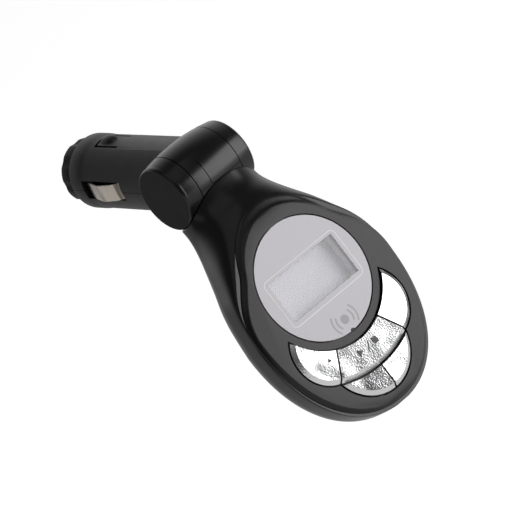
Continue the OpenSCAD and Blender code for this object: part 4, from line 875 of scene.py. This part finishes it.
# Ground springs
# A plated strip bent into a low bow, with both ends tucked into the side window: a long flat, a narrow
# crest and a steep short leg. Each section is crowned: x = r - bow q^2 over the half-width.
leaf_half, leaf_t, leaf_bow = 2.45, 0.36, 0.12
leaf_line = np.array([(8.95, -3.15), (9.6, -4.6), (10.55, -7.6), (11.2, -10.2), (11.42, -11.3),
                      (11.42, -12.4), (11.25, -13.4), (10.9, -15.0), (10.75, -16.2), (10.2, -17.4),
                      (9.3, -18.9), (8.95, -19.2)])
# The strip's colour swings in bands across it between a near-black and a light tone. The light tone is the
# plating's own; the dark bands are painted reflection of the dim room on the bent strip.
nickel_and_painted_reflection = noise_finish("plated_strip_painted_reflection", ((0.10, 0.085, 0.07), (0.62, 0.56, 0.50)), (0.22, 0.36), 420, 2,
                      (0.36, 0.58), (0.1, 1, 0.1))
nickel_and_painted_reflection.node_tree.nodes["Principled BSDF"].inputs["Metallic"].default_value = 1.0
for spring_name, side in (("ground_spring_left", -1), ("ground_spring_right", 1)):
    q = np.linspace(-1, 1, 9)
    outer = leaf_line[:, :1] - leaf_bow * q ** 2
    height = np.broadcast_to(q * leaf_half, outer.shape)
    place = np.broadcast_to(leaf_line[:, 1:], outer.shape)
    rings = np.stack([side * np.hstack([outer, outer[:, ::-1] - leaf_t]),
                      np.hstack([place, place]), np.hstack([height, height[:, ::-1]])], -1)
    leaf = stack(spring_name + "_strip", rings, row)
    smooth(leaf, 12)
    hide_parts(spring_name)
    dress(leaf, spring_name.replace("_spring", ""), "champagne", nickel_and_painted_reflection)

# Pieces that keep their modelled solids
# Each gets a finish with fine variation in colour and gloss: boards, chips, metals and insulation.
# A finish is two tones, metallic, roughness and the scale of its grain.
finishes = {
    "solder_mask": ((0.006, 0.022, 0.012), (0.009, 0.032, 0.017), 0.0, 0.34, 420),
    "package": ((0.014, 0.014, 0.015), (0.022, 0.022, 0.024), 0.0, 0.55, 2600),
    "ferrite": ((0.03, 0.026, 0.025), (0.05, 0.045, 0.042), 0.0, 0.7, 1800),
    "sleeve": ((0.012, 0.02, 0.055), (0.018, 0.028, 0.075), 0.0, 0.3, 500),
    "steel": ((0.42, 0.42, 0.43), (0.55, 0.55, 0.56), 1.0, 0.32, 1500),
    "brass": ((0.60, 0.42, 0.17), (0.74, 0.55, 0.25), 1.0, 0.28, 900),
    "white_plastic": ((0.62, 0.62, 0.59), (0.70, 0.70, 0.67), 0.0, 0.42, 700),
    "silicone": ((0.42, 0.42, 0.40), (0.47, 0.47, 0.45), 0.0, 0.6, 1200),
    "crystal_glass": ((0.49, 0.475, 0.525), (0.50, 0.485, 0.535), 0.0, 0.5, 300),
    "frame_silver": ((0.60, 0.585, 0.62), (0.64, 0.625, 0.66), 0.0, 0.4, 900),
    "fuse_tube": ((0.55, 0.60, 0.62), (0.66, 0.70, 0.72), 0.2, 0.12, 400),
    "insulation": ((0.22, 0.016, 0.016), (0.28, 0.024, 0.022), 0.0, 0.45, 800),
}
wears = {
    "solder_mask": ("plug_board", "main_board"),
    "package": ("nose_bush", "key_switches", "infrared_eye", "decoder_chip", "radio_chip"),
    "ferrite": ("plug_coil",),
    "sleeve": ("plug_capacitor", "head_capacitor"),
    "steel": ("hinge_pins", "friction_washers", "contact_spring", "usb_socket", "card_socket", "crystal",
              "board_screws", "shell_screws", "neck_screws"),
    "brass": ("fuse_terminal", "contact_pin"),
    "white_plastic": ("backlight", "usb_tongue", "lead_connector"),
    "silicone": ("key_mat",),
    "crystal_glass": ("display_glass",),
    "frame_silver": ("display_frame",),
    "fuse_tube": ("fuse",),
    "insulation": ("plug_wires", "head_wires"),
}
rough_low, rough_high = 0.85, 1.2
made = {}
for finish_name, (dark, light_tone, metal, rough, scale) in finishes.items():
    made[finish_name] = noise_finish(finish_name, (dark, light_tone), (rough * rough_low, rough * rough_high),
                                     scale, 3)
    made[finish_name].node_tree.nodes["Principled BSDF"].inputs["Metallic"].default_value = metal
    for node_name in wears[finish_name]:
        nodes[node_name].data.materials.clear()
        nodes[node_name].data.materials.append(made[finish_name])
nodes["hinge_hub"].data.materials.clear()
nodes["hinge_hub"].data.materials.append(gloss_black)

# The walls of the display window in the housing are as light as the display's frame.
wall_reach = 0.05
paint(housing["front_shell"], made["frame_silver"], lambda centre, normal: (
    np.abs(centre[:, 0]) < screen_w / 2 + wall_reach) & (
    np.abs(along_head(centre) - lens_s) < screen_h / 2 + wall_reach))
